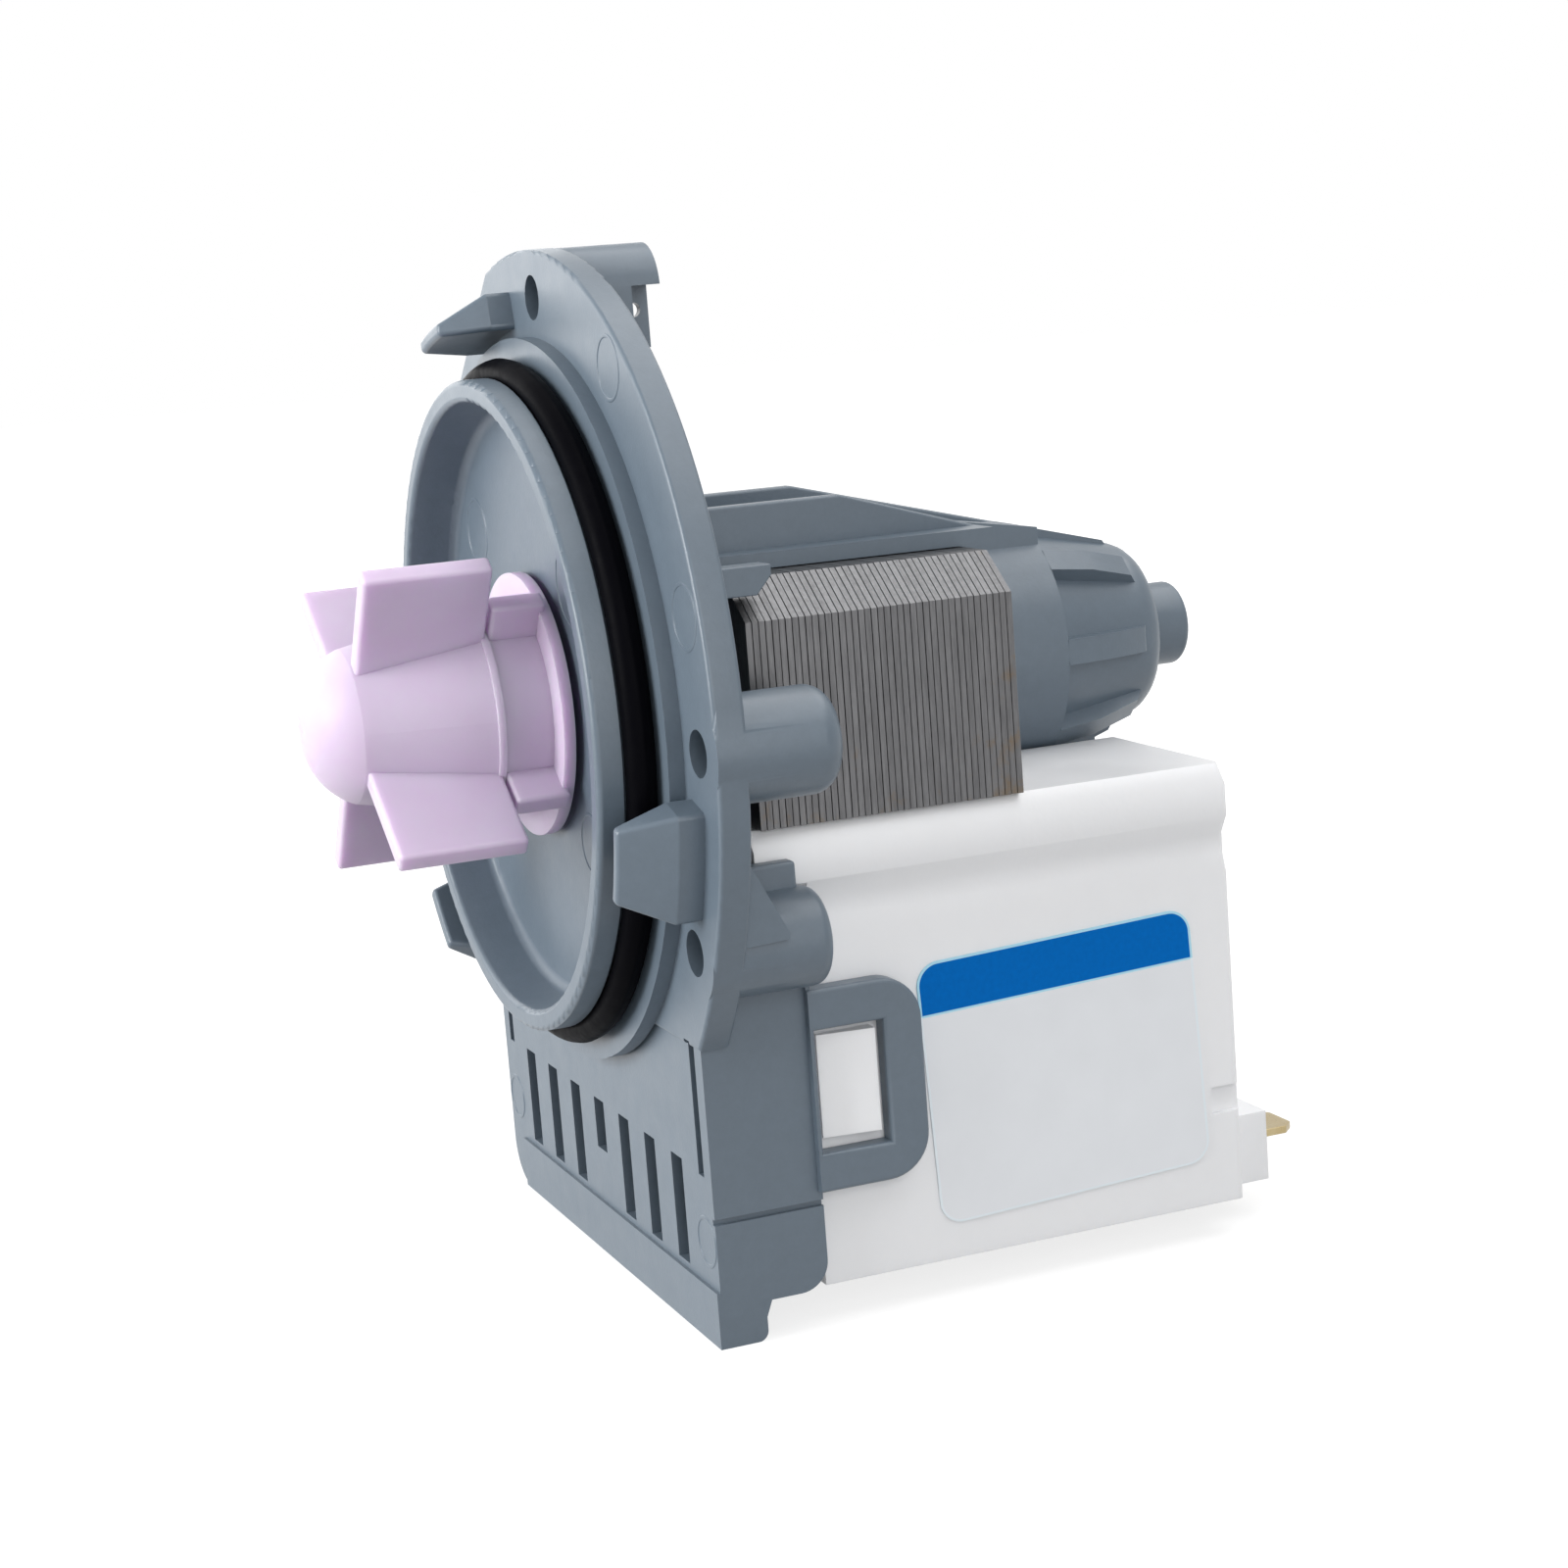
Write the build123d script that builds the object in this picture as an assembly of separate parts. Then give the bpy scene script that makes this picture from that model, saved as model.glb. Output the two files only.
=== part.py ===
from build123d import *
import os
from math import cos, sin, radians

# Drain pump of a washing machine, in millimetres.
# The pump axis is Y. The impeller looks toward -Y, +Z is up.
# The origin is on the pump axis, in the front mounting face of the flange.

# General
OVERRUN = 1.0               # how far a cutting body runs past the face it cuts
RUNNING_GAP = 0.03          # radial clearance of the shaft in its bearings
FIXED_GAP = 0.02            # radial clearance between pieces pressed together
SEAT_GAP = 0.1              # clearance between pieces that rest on each other
HUB_GAP = 0.05              # clearance of the pieces fitted at the hub, holder and sealing ring
TURN = 360.0                # a full turn in degrees

# Spigot, the round cup in front of the flange. Its radius sets the width of the pump.
RIM_R = 32.0
LIP_T = 2.5
SEAT_DEPTH = 1.1
RIM_WALL = 2.1
RECESS_TAPER = 0.7
SHOULDER_H = 1.5
SHOULDER_MARGIN = 1.9
SHOULDER_RELIEF = 0.4       # step behind the shoulder, seen only below the flange
FLOOR_Y = -1.8
FLOOR_BLEND = 1.2
FLOOR_T = 3.2
RIM_ROUND = 0.6
RING_SECTION_R = 1.4
RING_PLAY = 0.2
SEAT_R = RIM_R - SEAT_DEPTH
RIM_FRONT_Y = -(SHOULDER_H + 2 * RING_SECTION_R + RING_PLAY + LIP_T)
SHOULDER_R = SEAT_R + 2 * RING_SECTION_R + SHOULDER_MARGIN
RECESS_MOUTH_R = RIM_R - RIM_WALL
RECESS_FLOOR_R = RECESS_MOUTH_R - RECESS_TAPER

# Bayonet lugs on the front of the flange
LUG_ANGLES = (-16.0, 104.0, 224.0)
LUG_SETBACK = 1.0
LUG_T = 3.7
LUG_SLOPE = 2.5
LUG_SHOULDER_Y = -2.4
LUG_REACH = 0.3
LUG_ROOT_HALF = 5.3
LUG_TIP_HALF = 3.6
LUG_ROUND = 0.5
LUG_INNER_R = SHOULDER_R + LUG_SETBACK
LUG_OUTER_R = LUG_INNER_R + LUG_T
LUG_TIP_R = LUG_OUTER_R - LUG_SLOPE
LUG_TIP_Y = RIM_FRONT_Y - LUG_REACH

# Flange of the front body
FLANGE_EDGE = 3.6
FLANGE_T = 3.0
FLANGE_ROUND = 0.4
FLAT_ANGLE = 129.9          # the upper left of the flange is cut along a chord
FLAT_DEPTH = 3.6
FLANGE_R = LUG_OUTER_R + FLANGE_EDGE

# Screw holes and the bosses behind them
SCREW_EDGE = 4.5
SCREW_HOLE_R = 2.15
SCREW_HOLE_DEPTH = 8.0
TOP_BOSS_ANGLE = 86.0
RIGHT_BOSS_ANGLE = -1.0
LOWER_BOSS_ANGLES = (-29.5, 209.5)
TOP_BOSS_R = 4.5
TOP_BOSS_END_Y = 11.5
RIGHT_BOSS_R = 4.9
RIGHT_BOSS_END_Y = 12.3
RIGHT_BOSS_ROUND = 2.2
LOWER_BOSS_R = 4.6
LOWER_BOSS_END_Y = 11.9
LOWER_BOSS_ROUND = 1.2
POCKET_LENGTH = 2.9
POCKET_WALL = 0.5
POCKET_DROP = 0.4
WEB_HOLE_R = 0.7
WEB_HOLE_SETBACK = 1.5
WEB_HOLE_DROP = 1.9
WEB_DROP = 1.1              # how far the web of the top boss reaches below the boss
GUSSET_T = 1.6
GUSSET_SHIFT = 4.2          # from the middle of a lower boss outward to its gusset
GUSSET_RISE = 10.3
GUSSET_REACH = 4.3
SHELF_RISE = 2.5
SHELF_TIP_RISE = 1.7
SHELF_T = 1.6
SHELF_TIP_T = 0.6
SCREW_CIRCLE_R = FLANGE_R - SCREW_EDGE

# Shaft, bearings and thrust washers
SHAFT_R = 2.5
SHAFT_CHAMFER = 0.4
SHAFT_TAIL = 3.6
BEARING_WALL = 2.1
BEARING_L = 5.6
CUSHION_T = 1.6
CUSHION_L = 5.2
CUSHION_GAP = 0.04
WASHER_WALL = 1.9
WASHER_T = 0.5
WASHER_GAP = 0.15
BEARING_DEPTH = 5.4
BEARING_PLAY = 0.25
BEARING_R = SHAFT_R + BEARING_WALL
CUSHION_R = BEARING_R + CUSHION_T
WASHER_R = SHAFT_R + WASHER_WALL
FRONT_BEARING_START_Y = FLOOR_Y + BEARING_DEPTH
FRONT_WASHER_START_Y = FRONT_BEARING_START_Y + BEARING_L + BEARING_PLAY

# Pole cores, packs of punched steel sheets
SHEET_T = 0.65
SHEET_COUNT = 41
STOP_L = 8.1
STACK_START_Y = STOP_L + SEAT_GAP
STACK_END_Y = STACK_START_Y + SHEET_COUNT * SHEET_T

# Rotor
MAGNET_R = 11.2
MAGNET_OVERHANG = 1.25
SLEEVE_WALL = 1.5
SLEEVE_CAP_STEP = 0.6
SLEEVE_CAP_T = 1.93
SLEEVE_START_Y = FRONT_WASHER_START_Y + WASHER_T + WASHER_GAP
MAGNET_START_Y = SLEEVE_START_Y + SLEEVE_CAP_T + FIXED_GAP
MAGNET_END_Y = MAGNET_START_Y + SHEET_COUNT * SHEET_T + MAGNET_OVERHANG
SLEEVE_R = SHAFT_R + SLEEVE_WALL
SLEEVE_CAP_R = MAGNET_R - SLEEVE_CAP_STEP

# Rotor can, the closed tube behind the flange
AIR_GAP = 0.6
CAN_WALL = 1.2
CAN_BORE_TAIL = 6.05
CAN_CONE_L = 2.2
CAN_NECK_L = 1.8
CAN_NECK_STEP = 2.2
STOP_WIDTH = 4.0
CAN_BORE_R = MAGNET_R + AIR_GAP
CAN_R = CAN_BORE_R + CAN_WALL
CAN_BORE_END_Y = MAGNET_END_Y + CAN_BORE_TAIL
CAN_CONE_END_Y = CAN_BORE_END_Y + CAN_CONE_L
CAN_NECK_R = CAN_BORE_R - CAN_NECK_STEP
STOP_R = CAN_R + STOP_WIDTH

# Ribbed dome and nub behind the can
DOME_STEP = 1.6
DOME_CORE_L = 10.5
DOME_CORE_TAPER = 2.0
DOME_END_L = 3.0
DOME_END_TAPER = 2.5
DOME_END_STEPS = 5
DOME_RIB_COUNT = 8
DOME_RIB_T = 2.6
DOME_RIB_MID_L = 5.0
DOME_RIB_MID_DROP = 0.8
DOME_RIB_LOW_L = 10.0
DOME_RIB_LOW_DROP = 2.5
DOME_RIB_END_INSET = 1.0
NUB_L = 5.4
NUB_STEP = 2.5
NUB_ROUND = 0.7
REAR_SEAT_INSET = 0.8
SHAFT_END_BORE_GAP = 0.7
SHAFT_END_BORE_L = 2.5
DOME_Y = CAN_CONE_END_Y + CAN_NECK_L
DOME_CORE_R = CAN_R - DOME_STEP
DOME_CORE_END_R = DOME_CORE_R - DOME_CORE_TAPER
DOME_CORE_END_Y = DOME_Y + DOME_CORE_L
DOME_END_Y = DOME_CORE_END_Y + DOME_END_L
DOME_END_R = DOME_CORE_END_R - DOME_END_TAPER
NUB_R = DOME_END_R - NUB_STEP
NUB_END_Y = DOME_END_Y + NUB_L
REAR_BEARING_START_Y = DOME_Y + REAR_SEAT_INSET
SLEEVE_END_Y = REAR_BEARING_START_Y - WASHER_T - 2 * WASHER_GAP
SHAFT_REAR_Y = REAR_BEARING_START_Y + BEARING_L + SHAFT_TAIL
SHAFT_END_BORE_R = SHAFT_R + SHAFT_END_BORE_GAP
SHAFT_END_BORE_Y = SHAFT_REAR_Y + SHAFT_END_BORE_L

# Bearing holder and shaft seal
HOLDER_STEP = 0.8
HOLDER_T = 2.6
HOLDER_WALL = 1.8
HOLDER_RIM = 0.3
HOLDER_BORE_GAP = 0.9
SEAL_INSET = 1.0
SEAL_FRONT_INSET = 0.3
SEAL_L = 3.8
SEAL_WALL = 0.9
SEAL_FLOOR_T = 1.1
SEAL_LIP_SETBACK = 2.8
SEAL_LIP_T = 0.6
SEAL_LIP_RISE = 1.1
SEAL_LIP_GAP = 0.05
HOLDER_R = CAN_BORE_R + HOLDER_STEP
HOLDER_HUB_R = CUSHION_R + HOLDER_WALL
HOLDER_END_Y = FRONT_BEARING_START_Y + CUSHION_L + HOLDER_RIM
HOLDER_BORE_R = SHAFT_R + HOLDER_BORE_GAP
SEAL_R = HOLDER_HUB_R - SEAL_INSET
SEAL_FRONT_Y = FLOOR_Y + SEAL_FRONT_INSET
SEAL_BACK_Y = SEAL_FRONT_Y + SEAL_L
SEAL_LIP_Y = SEAL_FRONT_Y + SEAL_LIP_SETBACK
SEAL_LIP_R = SHAFT_R + SEAL_LIP_RISE

# Impeller
COVER_GAP = 0.8             # from the cup floor to the cover of the impeller hub
COVER_L = 6.0
HUB_L = 17.2
HUB_DOME_L = 1.5
HUB_NOSE_L = 4.2
HUB_WALL = 1.7
HUB_DOME_STEP = 2.1
HUB_TAPER = 2.5
BEAD_H = 0.35
BEAD_W = 0.7
BLADE_COUNT = 4
BLADE_ANGLE = 53.5
BLADE_R = 19.0
BLADE_ROOT_DEPTH = 0.9
BLADE_T = 2.0
BLADE_ROUND = 0.4
BLADE_FRONT_SETBACK = 0.2
BLADE_BACK_SETBACK = 0.3
CAVITY_SETBACK = 1.4
JOURNAL_SETBACK = 2.2
SHAFT_FRONT_PLAY = 0.3
DOG_HALF_ANGLE = 40.0
DOG_INSET = 0.4
DOG_DEPTH = 1.2
DOG_GAP = 0.1
DRIVE_RING_WALL = 1.25
DRIVE_DOG_PLAY = 0.35
DRIVE_DOG_INSET = 0.2
DAMPER_PLAY = 0.3
DAMPER_BAND_T = 0.45
DAMPER_OUTER_PLAY = 0.2
DAMPER_GAP_ANGLE = 0.6
DAMPER_PAD_ANGLE = 8.0
DAMPER_INSET = 0.3
DRIVE_RING_R = SHAFT_R + DRIVE_RING_WALL
DAMPER_INNER_R = DRIVE_RING_R + DAMPER_PLAY
DAMPER_BAND_R = DAMPER_INNER_R + DAMPER_BAND_T
IMPELLER_DOG_R = DAMPER_BAND_R + DOG_GAP
CAVITY_R = IMPELLER_DOG_R + DOG_DEPTH
DRIVE_DOG_R = CAVITY_R - DRIVE_DOG_PLAY
DAMPER_R = CAVITY_R - DAMPER_OUTER_PLAY
COVER_BACK_Y = FLOOR_Y - COVER_GAP
HUB_BACK_Y = COVER_BACK_Y - COVER_L
HUB_TIP_Y = HUB_BACK_Y - HUB_L
HUB_DOME_Y = HUB_TIP_Y + HUB_DOME_L
HUB_NOSE_Y = HUB_TIP_Y + HUB_NOSE_L
HUB_NOSE_R = CAVITY_R + HUB_WALL
HUB_DOME_R = HUB_NOSE_R - HUB_DOME_STEP
HUB_BACK_R = HUB_NOSE_R + HUB_TAPER
BLADE_ROOT_R = HUB_NOSE_R - BLADE_ROOT_DEPTH
BLADE_FRONT_Y = HUB_NOSE_Y + BLADE_FRONT_SETBACK
BLADE_BACK_Y = HUB_BACK_Y - BLADE_BACK_SETBACK
CAVITY_FRONT_Y = HUB_NOSE_Y + CAVITY_SETBACK
JOURNAL_END_Y = HUB_TIP_Y + JOURNAL_SETBACK
SHAFT_FRONT_Y = JOURNAL_END_Y + SHAFT_FRONT_PLAY

# Rear cover of the impeller hub
COVER_DISC_STEP = 3.0
COVER_DISC_T = 1.2
COVER_PLUG_GAP = 0.1
COVER_PLUG_L = 1.1
PLUG_GAP = 0.5
TAIL_REACH = 0.9
TAIL_ROOT_DEPTH = 1.0
COVER_DISC_R = HUB_BACK_R + COVER_DISC_STEP
COVER_PLUG_R = CAVITY_R - COVER_PLUG_GAP
COVER_PLUG_Y = HUB_BACK_Y - COVER_PLUG_L
TAIL_R = COVER_DISC_R + TAIL_REACH
TAIL_ROOT_R = HUB_BACK_R - TAIL_ROOT_DEPTH
DOG_FRONT_Y = CAVITY_FRONT_Y + DOG_INSET
DOG_BACK_Y = COVER_PLUG_Y - PLUG_GAP

# Width of the coil housing and of what lines up with its sides
HOUSING_INSET = 0.6         # from the rim of the spigot to the side of the housing
TOP_RIM_PROUD = 0.6
COVE_DEPTH = 0.5
SKIRT_INSET = 1.0
HOUSING_WALL = 2.0
POLE_PROUD = 0.3
HOUSING_HALF = RIM_R - HOUSING_INSET
TOP_RIM_HALF = HOUSING_HALF + TOP_RIM_PROUD
COVE_HALF = HOUSING_HALF - COVE_DEPTH
SKIRT_HALF = HOUSING_HALF - SKIRT_INSET
ROOM_HALF = SKIRT_HALF - HOUSING_WALL / 2
POLE_HALF = HOUSING_HALF + POLE_PROUD

# Coils on the legs of the cores
BOBBIN_GAP = 0.2
BOBBIN_WALL = 0.8
BOBBIN_FLANGE_T = 1.0
BOBBIN_LIP = 0.2
WINDING_T = 3.6
COIL_SPACE = 5.2            # from the middle to the inner edge of a bobbin
COIL_CLEARANCE = 2.6        # from the outer edge of a bobbin to the wall of the room
BOBBIN_REACH = BOBBIN_WALL + WINDING_T + BOBBIN_LIP
LEG_INNER_X = COIL_SPACE + BOBBIN_REACH + BOBBIN_GAP
LEG_OUTER_X = ROOM_HALF - COIL_CLEARANCE - BOBBIN_REACH - BOBBIN_GAP
LEG_MID_X = (LEG_INNER_X + LEG_OUTER_X) / 2
WINDING_REAR_Y = STACK_END_Y + BOBBIN_GAP + BOBBIN_WALL + WINDING_T
BOBBIN_REAR_Y = WINDING_REAR_Y + BOBBIN_LIP

# Heights of the pole cores, legs and yoke
CAN_PROUD = 0.2             # how far the can stands out above the pole cores
POLE_H = 22.6
POLE_BORE_GAP = 0.3
POLE_TIP_X = 6.2
POLE_CHAMFER_RUN = 4.7
POLE_CHAMFER_DROP = 3.6
LEG_L = 30.2
YOKE_H = 9.7
BOBBIN_STOP_GAP = 0.4
POLE_TOP_Z = CAN_R - CAN_PROUD
POLE_BOTTOM_Z = POLE_TOP_Z - POLE_H
LEG_END_Z = POLE_BOTTOM_Z - LEG_L
YOKE_BOTTOM_Z = LEG_END_Z - SEAT_GAP - YOKE_H
BOBBIN_TOP_Z = -STOP_R - BOBBIN_STOP_GAP
BOBBIN_BOTTOM_Z = LEG_END_Z - SEAT_GAP + BOBBIN_GAP

# Coil housing, the white box
HOUSING_START_INSET = 1.0
HOUSING_TAIL = 21.65
TOP_EDGE_DROP = 1.8
TOP_EDGE_RUN = 1.4
TOP_RIM_H = 5.1
COVE_START_DROP = 1.8
COVE_H = 2.0
SIDE_START_DROP = 1.7
SKIRT_SETBACK = 2.8
SKIRT_TOP_INSET = 1.2
CEILING_RISE = 1.6
YOKE_PLAY = 0.2
SKIRT_FLOOR_T = 1.4
HOUSING_FLOOR_DROP = 1.8
REAR_WALL_T = 1.9
SADDLE_GAP = 0.4
HOUSING_ROUND = 0.8
NOTCH_RISE = 9.1
NOTCH_H = 2.7
NOTCH_L = 3.3
NOTCH_DEPTH = 0.7
HOUSING_START_Y = STACK_START_Y - HOUSING_START_INSET
HOUSING_END_Y = STACK_END_Y + HOUSING_TAIL
REAR_WALL_Y = HOUSING_END_Y - REAR_WALL_T
HOUSING_TOP_Z = POLE_BOTTOM_Z - SEAT_GAP
TOP_RIM_BOTTOM_Z = HOUSING_TOP_Z - TOP_RIM_H
COVE_START_Z = TOP_RIM_BOTTOM_Z - COVE_START_DROP
COVE_END_Z = COVE_START_Z - COVE_H
SIDE_START_Z = COVE_END_Z - SIDE_START_DROP
CEILING_Z = BOBBIN_TOP_Z + CEILING_RISE
SKIRT_TOP_Z = CEILING_Z - SKIRT_TOP_INSET
SKIRT_FLOOR_Z = YOKE_BOTTOM_Z - YOKE_PLAY
SKIRT_BOTTOM_Z = SKIRT_FLOOR_Z - SKIRT_FLOOR_T
CAVITY_BOTTOM_Z = YOKE_BOTTOM_Z - HOUSING_FLOOR_DROP
HOUSING_BOTTOM_Z = CAVITY_BOTTOM_Z - HOUSING_WALL
NOTCH_BOTTOM_Z = HOUSING_BOTTOM_Z + NOTCH_RISE
NOTCH_TOP_Z = NOTCH_BOTTOM_Z + NOTCH_H
NOTCH_START_Y = HOUSING_END_Y - NOTCH_L

# Connector block and blade terminals
BLOCK_INSET = 3.9
BLOCK_L = 5.0
BLOCK_H = 7.1
TERMINAL_W = 6.3
TERMINAL_T = 0.8
TERMINAL_INSET = 5.2
TERMINAL_RISE = 4.0
TERMINAL_ROOT_L = 16.5
TERMINAL_BLADE_L = 4.7
TERMINAL_TIP = 1.2
TERMINAL_GAP = 0.06
POCKET_MARGIN = 1.15
POCKET_RISE = 1.4
POCKET_DEPTH = 3.4
BLOCK_HALF = HOUSING_HALF - BLOCK_INSET
BLOCK_END_Y = HOUSING_END_Y + BLOCK_L
BLOCK_TOP_Z = HOUSING_BOTTOM_Z + BLOCK_H
TERMINAL_X = BLOCK_HALF - TERMINAL_INSET
TERMINAL_Z = HOUSING_BOTTOM_Z + TERMINAL_RISE
TERMINAL_START_Y = BLOCK_END_Y - TERMINAL_ROOT_L
TERMINAL_END_Y = BLOCK_END_Y + TERMINAL_BLADE_L

# Small electrical pieces
LEAD_R = 0.4
LEAD_BEND_R = 3.0
LEAD_RISE = 10.0
LEAD_LAP = 2.5
LEAD_GAP = 0.05
LINK_R = 0.5
LINK_INSET = 2.0
LINK_DROP = 3.1
LINK_END_RISE = 0.65        # from the middle of the coils to the lower ends of the link
LINK_BEND_R = 4.0
CUTOUT_W = 9.0
CUTOUT_SHIFT = 4.5
CUTOUT_T = 3.2
CUTOUT_DROP = 2.35          # from the middle of the coils to the top of the cutout
CUTOUT_H = 5.0
LEAD_TOP_Z = LEG_END_Z + LEAD_RISE
LEAD_END_Y = TERMINAL_START_Y + LEAD_LAP
LINK_HALF = LEG_MID_X - LINK_INSET
LINK_TOP_Z = BOBBIN_TOP_Z - LINK_DROP
COIL_MID_Z = (BOBBIN_TOP_Z + BOBBIN_BOTTOM_Z) / 2
LINK_END_Z = COIL_MID_Z + LINK_END_RISE
CUTOUT_BOTTOM_Z = COIL_MID_Z - CUTOUT_DROP - CUTOUT_H

# Top plate and its fins
PLATE_HALF = 22.0
PLATE_T = 1.5
PLATE_OVERHANG = 3.15
KEY_GAP = 1.2
KEY_DEPTH = 1.5
FIN_T = 1.7
FIN_H = 4.3
FIN_ROUND = 0.3
SIDE_FIN_INSET = 4.7
SIDE_FIN_SLOPE_L = 14.0
LOW_FIN_H = 2.0
MID_FIN_SLOPE_L = 12.0
MID_FIN_END_DROP = 3.2
MID_FIN_END_INSET = 3.3
FIN_ROOT_DEPTH = 0.6
ROOF_HALF = 7.4             # the flat-sided block on the can behind the plate
FOOT_FIN_START = 0.5
FOOT_FIN_L = 8.1
FOOT_FIN_INSET = 0.8
PLATE_BOTTOM_Z = POLE_TOP_Z + SEAT_GAP
PLATE_TOP_Z = PLATE_BOTTOM_Z + PLATE_T
PLATE_END_Y = STACK_END_Y + PLATE_OVERHANG
KEY_HALF = POLE_TIP_X - KEY_GAP
KEY_BOTTOM_Z = PLATE_BOTTOM_Z - KEY_DEPTH
SIDE_FIN_X = PLATE_HALF - SIDE_FIN_INSET
SIDE_FIN_KNEE_Y = PLATE_END_Y - SIDE_FIN_SLOPE_L
FIN_TOP_Z = PLATE_TOP_Z + FIN_H
LOW_FIN_TOP_Z = PLATE_TOP_Z + LOW_FIN_H
MID_FIN_KNEE_Y = PLATE_END_Y - MID_FIN_SLOPE_L
MID_FIN_END_Y = DOME_END_Y - MID_FIN_END_INSET
MID_FIN_END_Z = CAN_R - MID_FIN_END_DROP
FIN_ROOT_R = CAN_R - FIN_ROOT_DEPTH
FOOT_FIN_START_Y = DOME_Y + FOOT_FIN_START
FOOT_FIN_END_Y = FOOT_FIN_START_Y + FOOT_FIN_L
FOOT_FIN_BOTTOM_Z = FOOT_FIN_INSET - CAN_R

# Hooks that hold the front corner of the pole cores
HOOK_PROUD = 0.3
HOOK_W = 3.0
HOOK_GAP = 0.33
HOOK_RISE = 1.5
HOOK_TIP_RISE = 0.5
HOOK_TIP_L = 2.8
HOOK_NECK_L = 1.3
HOOK_ROUND = 0.15
TAB_ROUND = 0.4             # edges of guides and loops
HOOK_OUTER_X = POLE_HALF + HOOK_PROUD
HOOK_INNER_X = HOOK_OUTER_X - HOOK_W
HOOK_TOP_Z = POLE_TOP_Z + HOOK_RISE
HOOK_TIP_Z = POLE_TOP_Z + HOOK_TIP_RISE
HOOK_TIP_Y = STACK_START_Y + HOOK_TIP_L
HOOK_NECK_Y = STACK_START_Y + HOOK_NECK_L

# Guide tabs beside the upper edge of the coil housing
GUIDE_GAP = 0.5
GUIDE_T = 1.8
GUIDE_DROP = 2.5
GUIDE_H = 3.2
GUIDE_REACH = 2.1
GUIDE_INNER_X = TOP_RIM_HALF + GUIDE_GAP
GUIDE_TOP_Z = HOUSING_TOP_Z - GUIDE_DROP
GUIDE_BOTTOM_Z = GUIDE_TOP_Z - GUIDE_H
GUIDE_END_Y = STACK_START_Y + GUIDE_REACH

# Vent bracket below the flange
BRACKET_FRONT_Y = 0.4
BRACKET_DEPTH = 10.8
BRACKET_WALL = 1.8
BRACKET_GAP = 0.3
BRACKET_H = 29.1
BRACKET_LAP = 4.4           # how far the bracket reaches up behind the flange
FOOT_H = 3.8
FOOT_DEPTH = 4.4
FOOT_RISE_L = 0.6
FOOT_ROUND = 1.0
CORNER_R = 4.5
SIDE_CORNER_R = 2.8
SLOT_COUNT = 7
SLOT_MARGIN = 9.4
SLOT_W = 3.0
SLOT_RISE = 2.2
SLOT_L = 10.3
SHORT_SLOT_L = 5.3
EDGE_SLOT_MARGIN = 2.6
EDGE_SLOT_W = 1.4
EDGE_SLOT_LAP = 0.3
EDGE_SLOT_L = 13.0
BAND_STEP = 0.35
BAND_H = 5.4
GROOVE_DROP = 1.1
GROOVE_H = 0.6
GROOVE_DEPTH = 0.5
BRACKET_HALF = SKIRT_HALF + BRACKET_GAP + BRACKET_WALL
BRACKET_BACK_Y = BRACKET_FRONT_Y + BRACKET_WALL
BRACKET_END_Y = BRACKET_FRONT_Y + BRACKET_DEPTH
BRACKET_BOTTOM_Z = SKIRT_BOTTOM_Z - BRACKET_GAP - BRACKET_WALL
BRACKET_TOP_Z = BRACKET_BOTTOM_Z + BRACKET_H
FLANGE_BOTTOM_Z = BRACKET_TOP_Z - BRACKET_LAP
FOOT_BOTTOM_Z = BRACKET_BOTTOM_Z - FOOT_H
FOOT_END_Y = BRACKET_FRONT_Y + FOOT_DEPTH
FOOT_RISE_Y = FOOT_END_Y + FOOT_RISE_L
SLOT_ROW_HALF = BRACKET_HALF - SLOT_MARGIN
SLOT_BOTTOM_Z = BRACKET_BOTTOM_Z + SLOT_RISE
SLOT_TOP_Z = SLOT_BOTTOM_Z + SLOT_L
SHORT_SLOT_BOTTOM_Z = SLOT_TOP_Z - SHORT_SLOT_L
EDGE_SLOT_X = BRACKET_HALF - EDGE_SLOT_MARGIN
EDGE_SLOT_BOTTOM_Z = SLOT_TOP_Z - EDGE_SLOT_LAP
EDGE_SLOT_TOP_Z = EDGE_SLOT_BOTTOM_Z + EDGE_SLOT_L
BAND_TOP_Z = FOOT_BOTTOM_Z + BAND_H
SKIRT_START_Y = BRACKET_FRONT_Y + SKIRT_SETBACK

# Spring clip loops on both sides of the bracket
LOOP_GAP = 0.15
LOOP_T = 1.85
LOOP_DROP = 0.4
LOOP_H = 19.3
LOOP_L = 10.9
LOOP_ROOT_LAP = 0.4
LOOP_R = 4.2
LOOP_BAR = 3.9
LOOP_LOW_BAR = 3.7
LOOP_INNER_X = HOUSING_HALF + LOOP_GAP
LOOP_OUTER_X = LOOP_INNER_X + LOOP_T
LOOP_TOP_Z = BRACKET_TOP_Z - LOOP_DROP
LOOP_BOTTOM_Z = LOOP_TOP_Z - LOOP_H
LOOP_END_Y = BRACKET_END_Y + LOOP_L
LOOP_ROOT_Y = BRACKET_END_Y - LOOP_ROOT_LAP
WINDOW_START_Y = BRACKET_END_Y + SEAT_GAP
WINDOW_END_Y = LOOP_END_Y - LOOP_BAR
WINDOW_TOP_Z = LOOP_TOP_Z - LOOP_BAR
WINDOW_BOTTOM_Z = LOOP_BOTTOM_Z + LOOP_LOW_BAR
GROOVE_Z = LOOP_BOTTOM_Z - GROOVE_DROP

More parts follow.
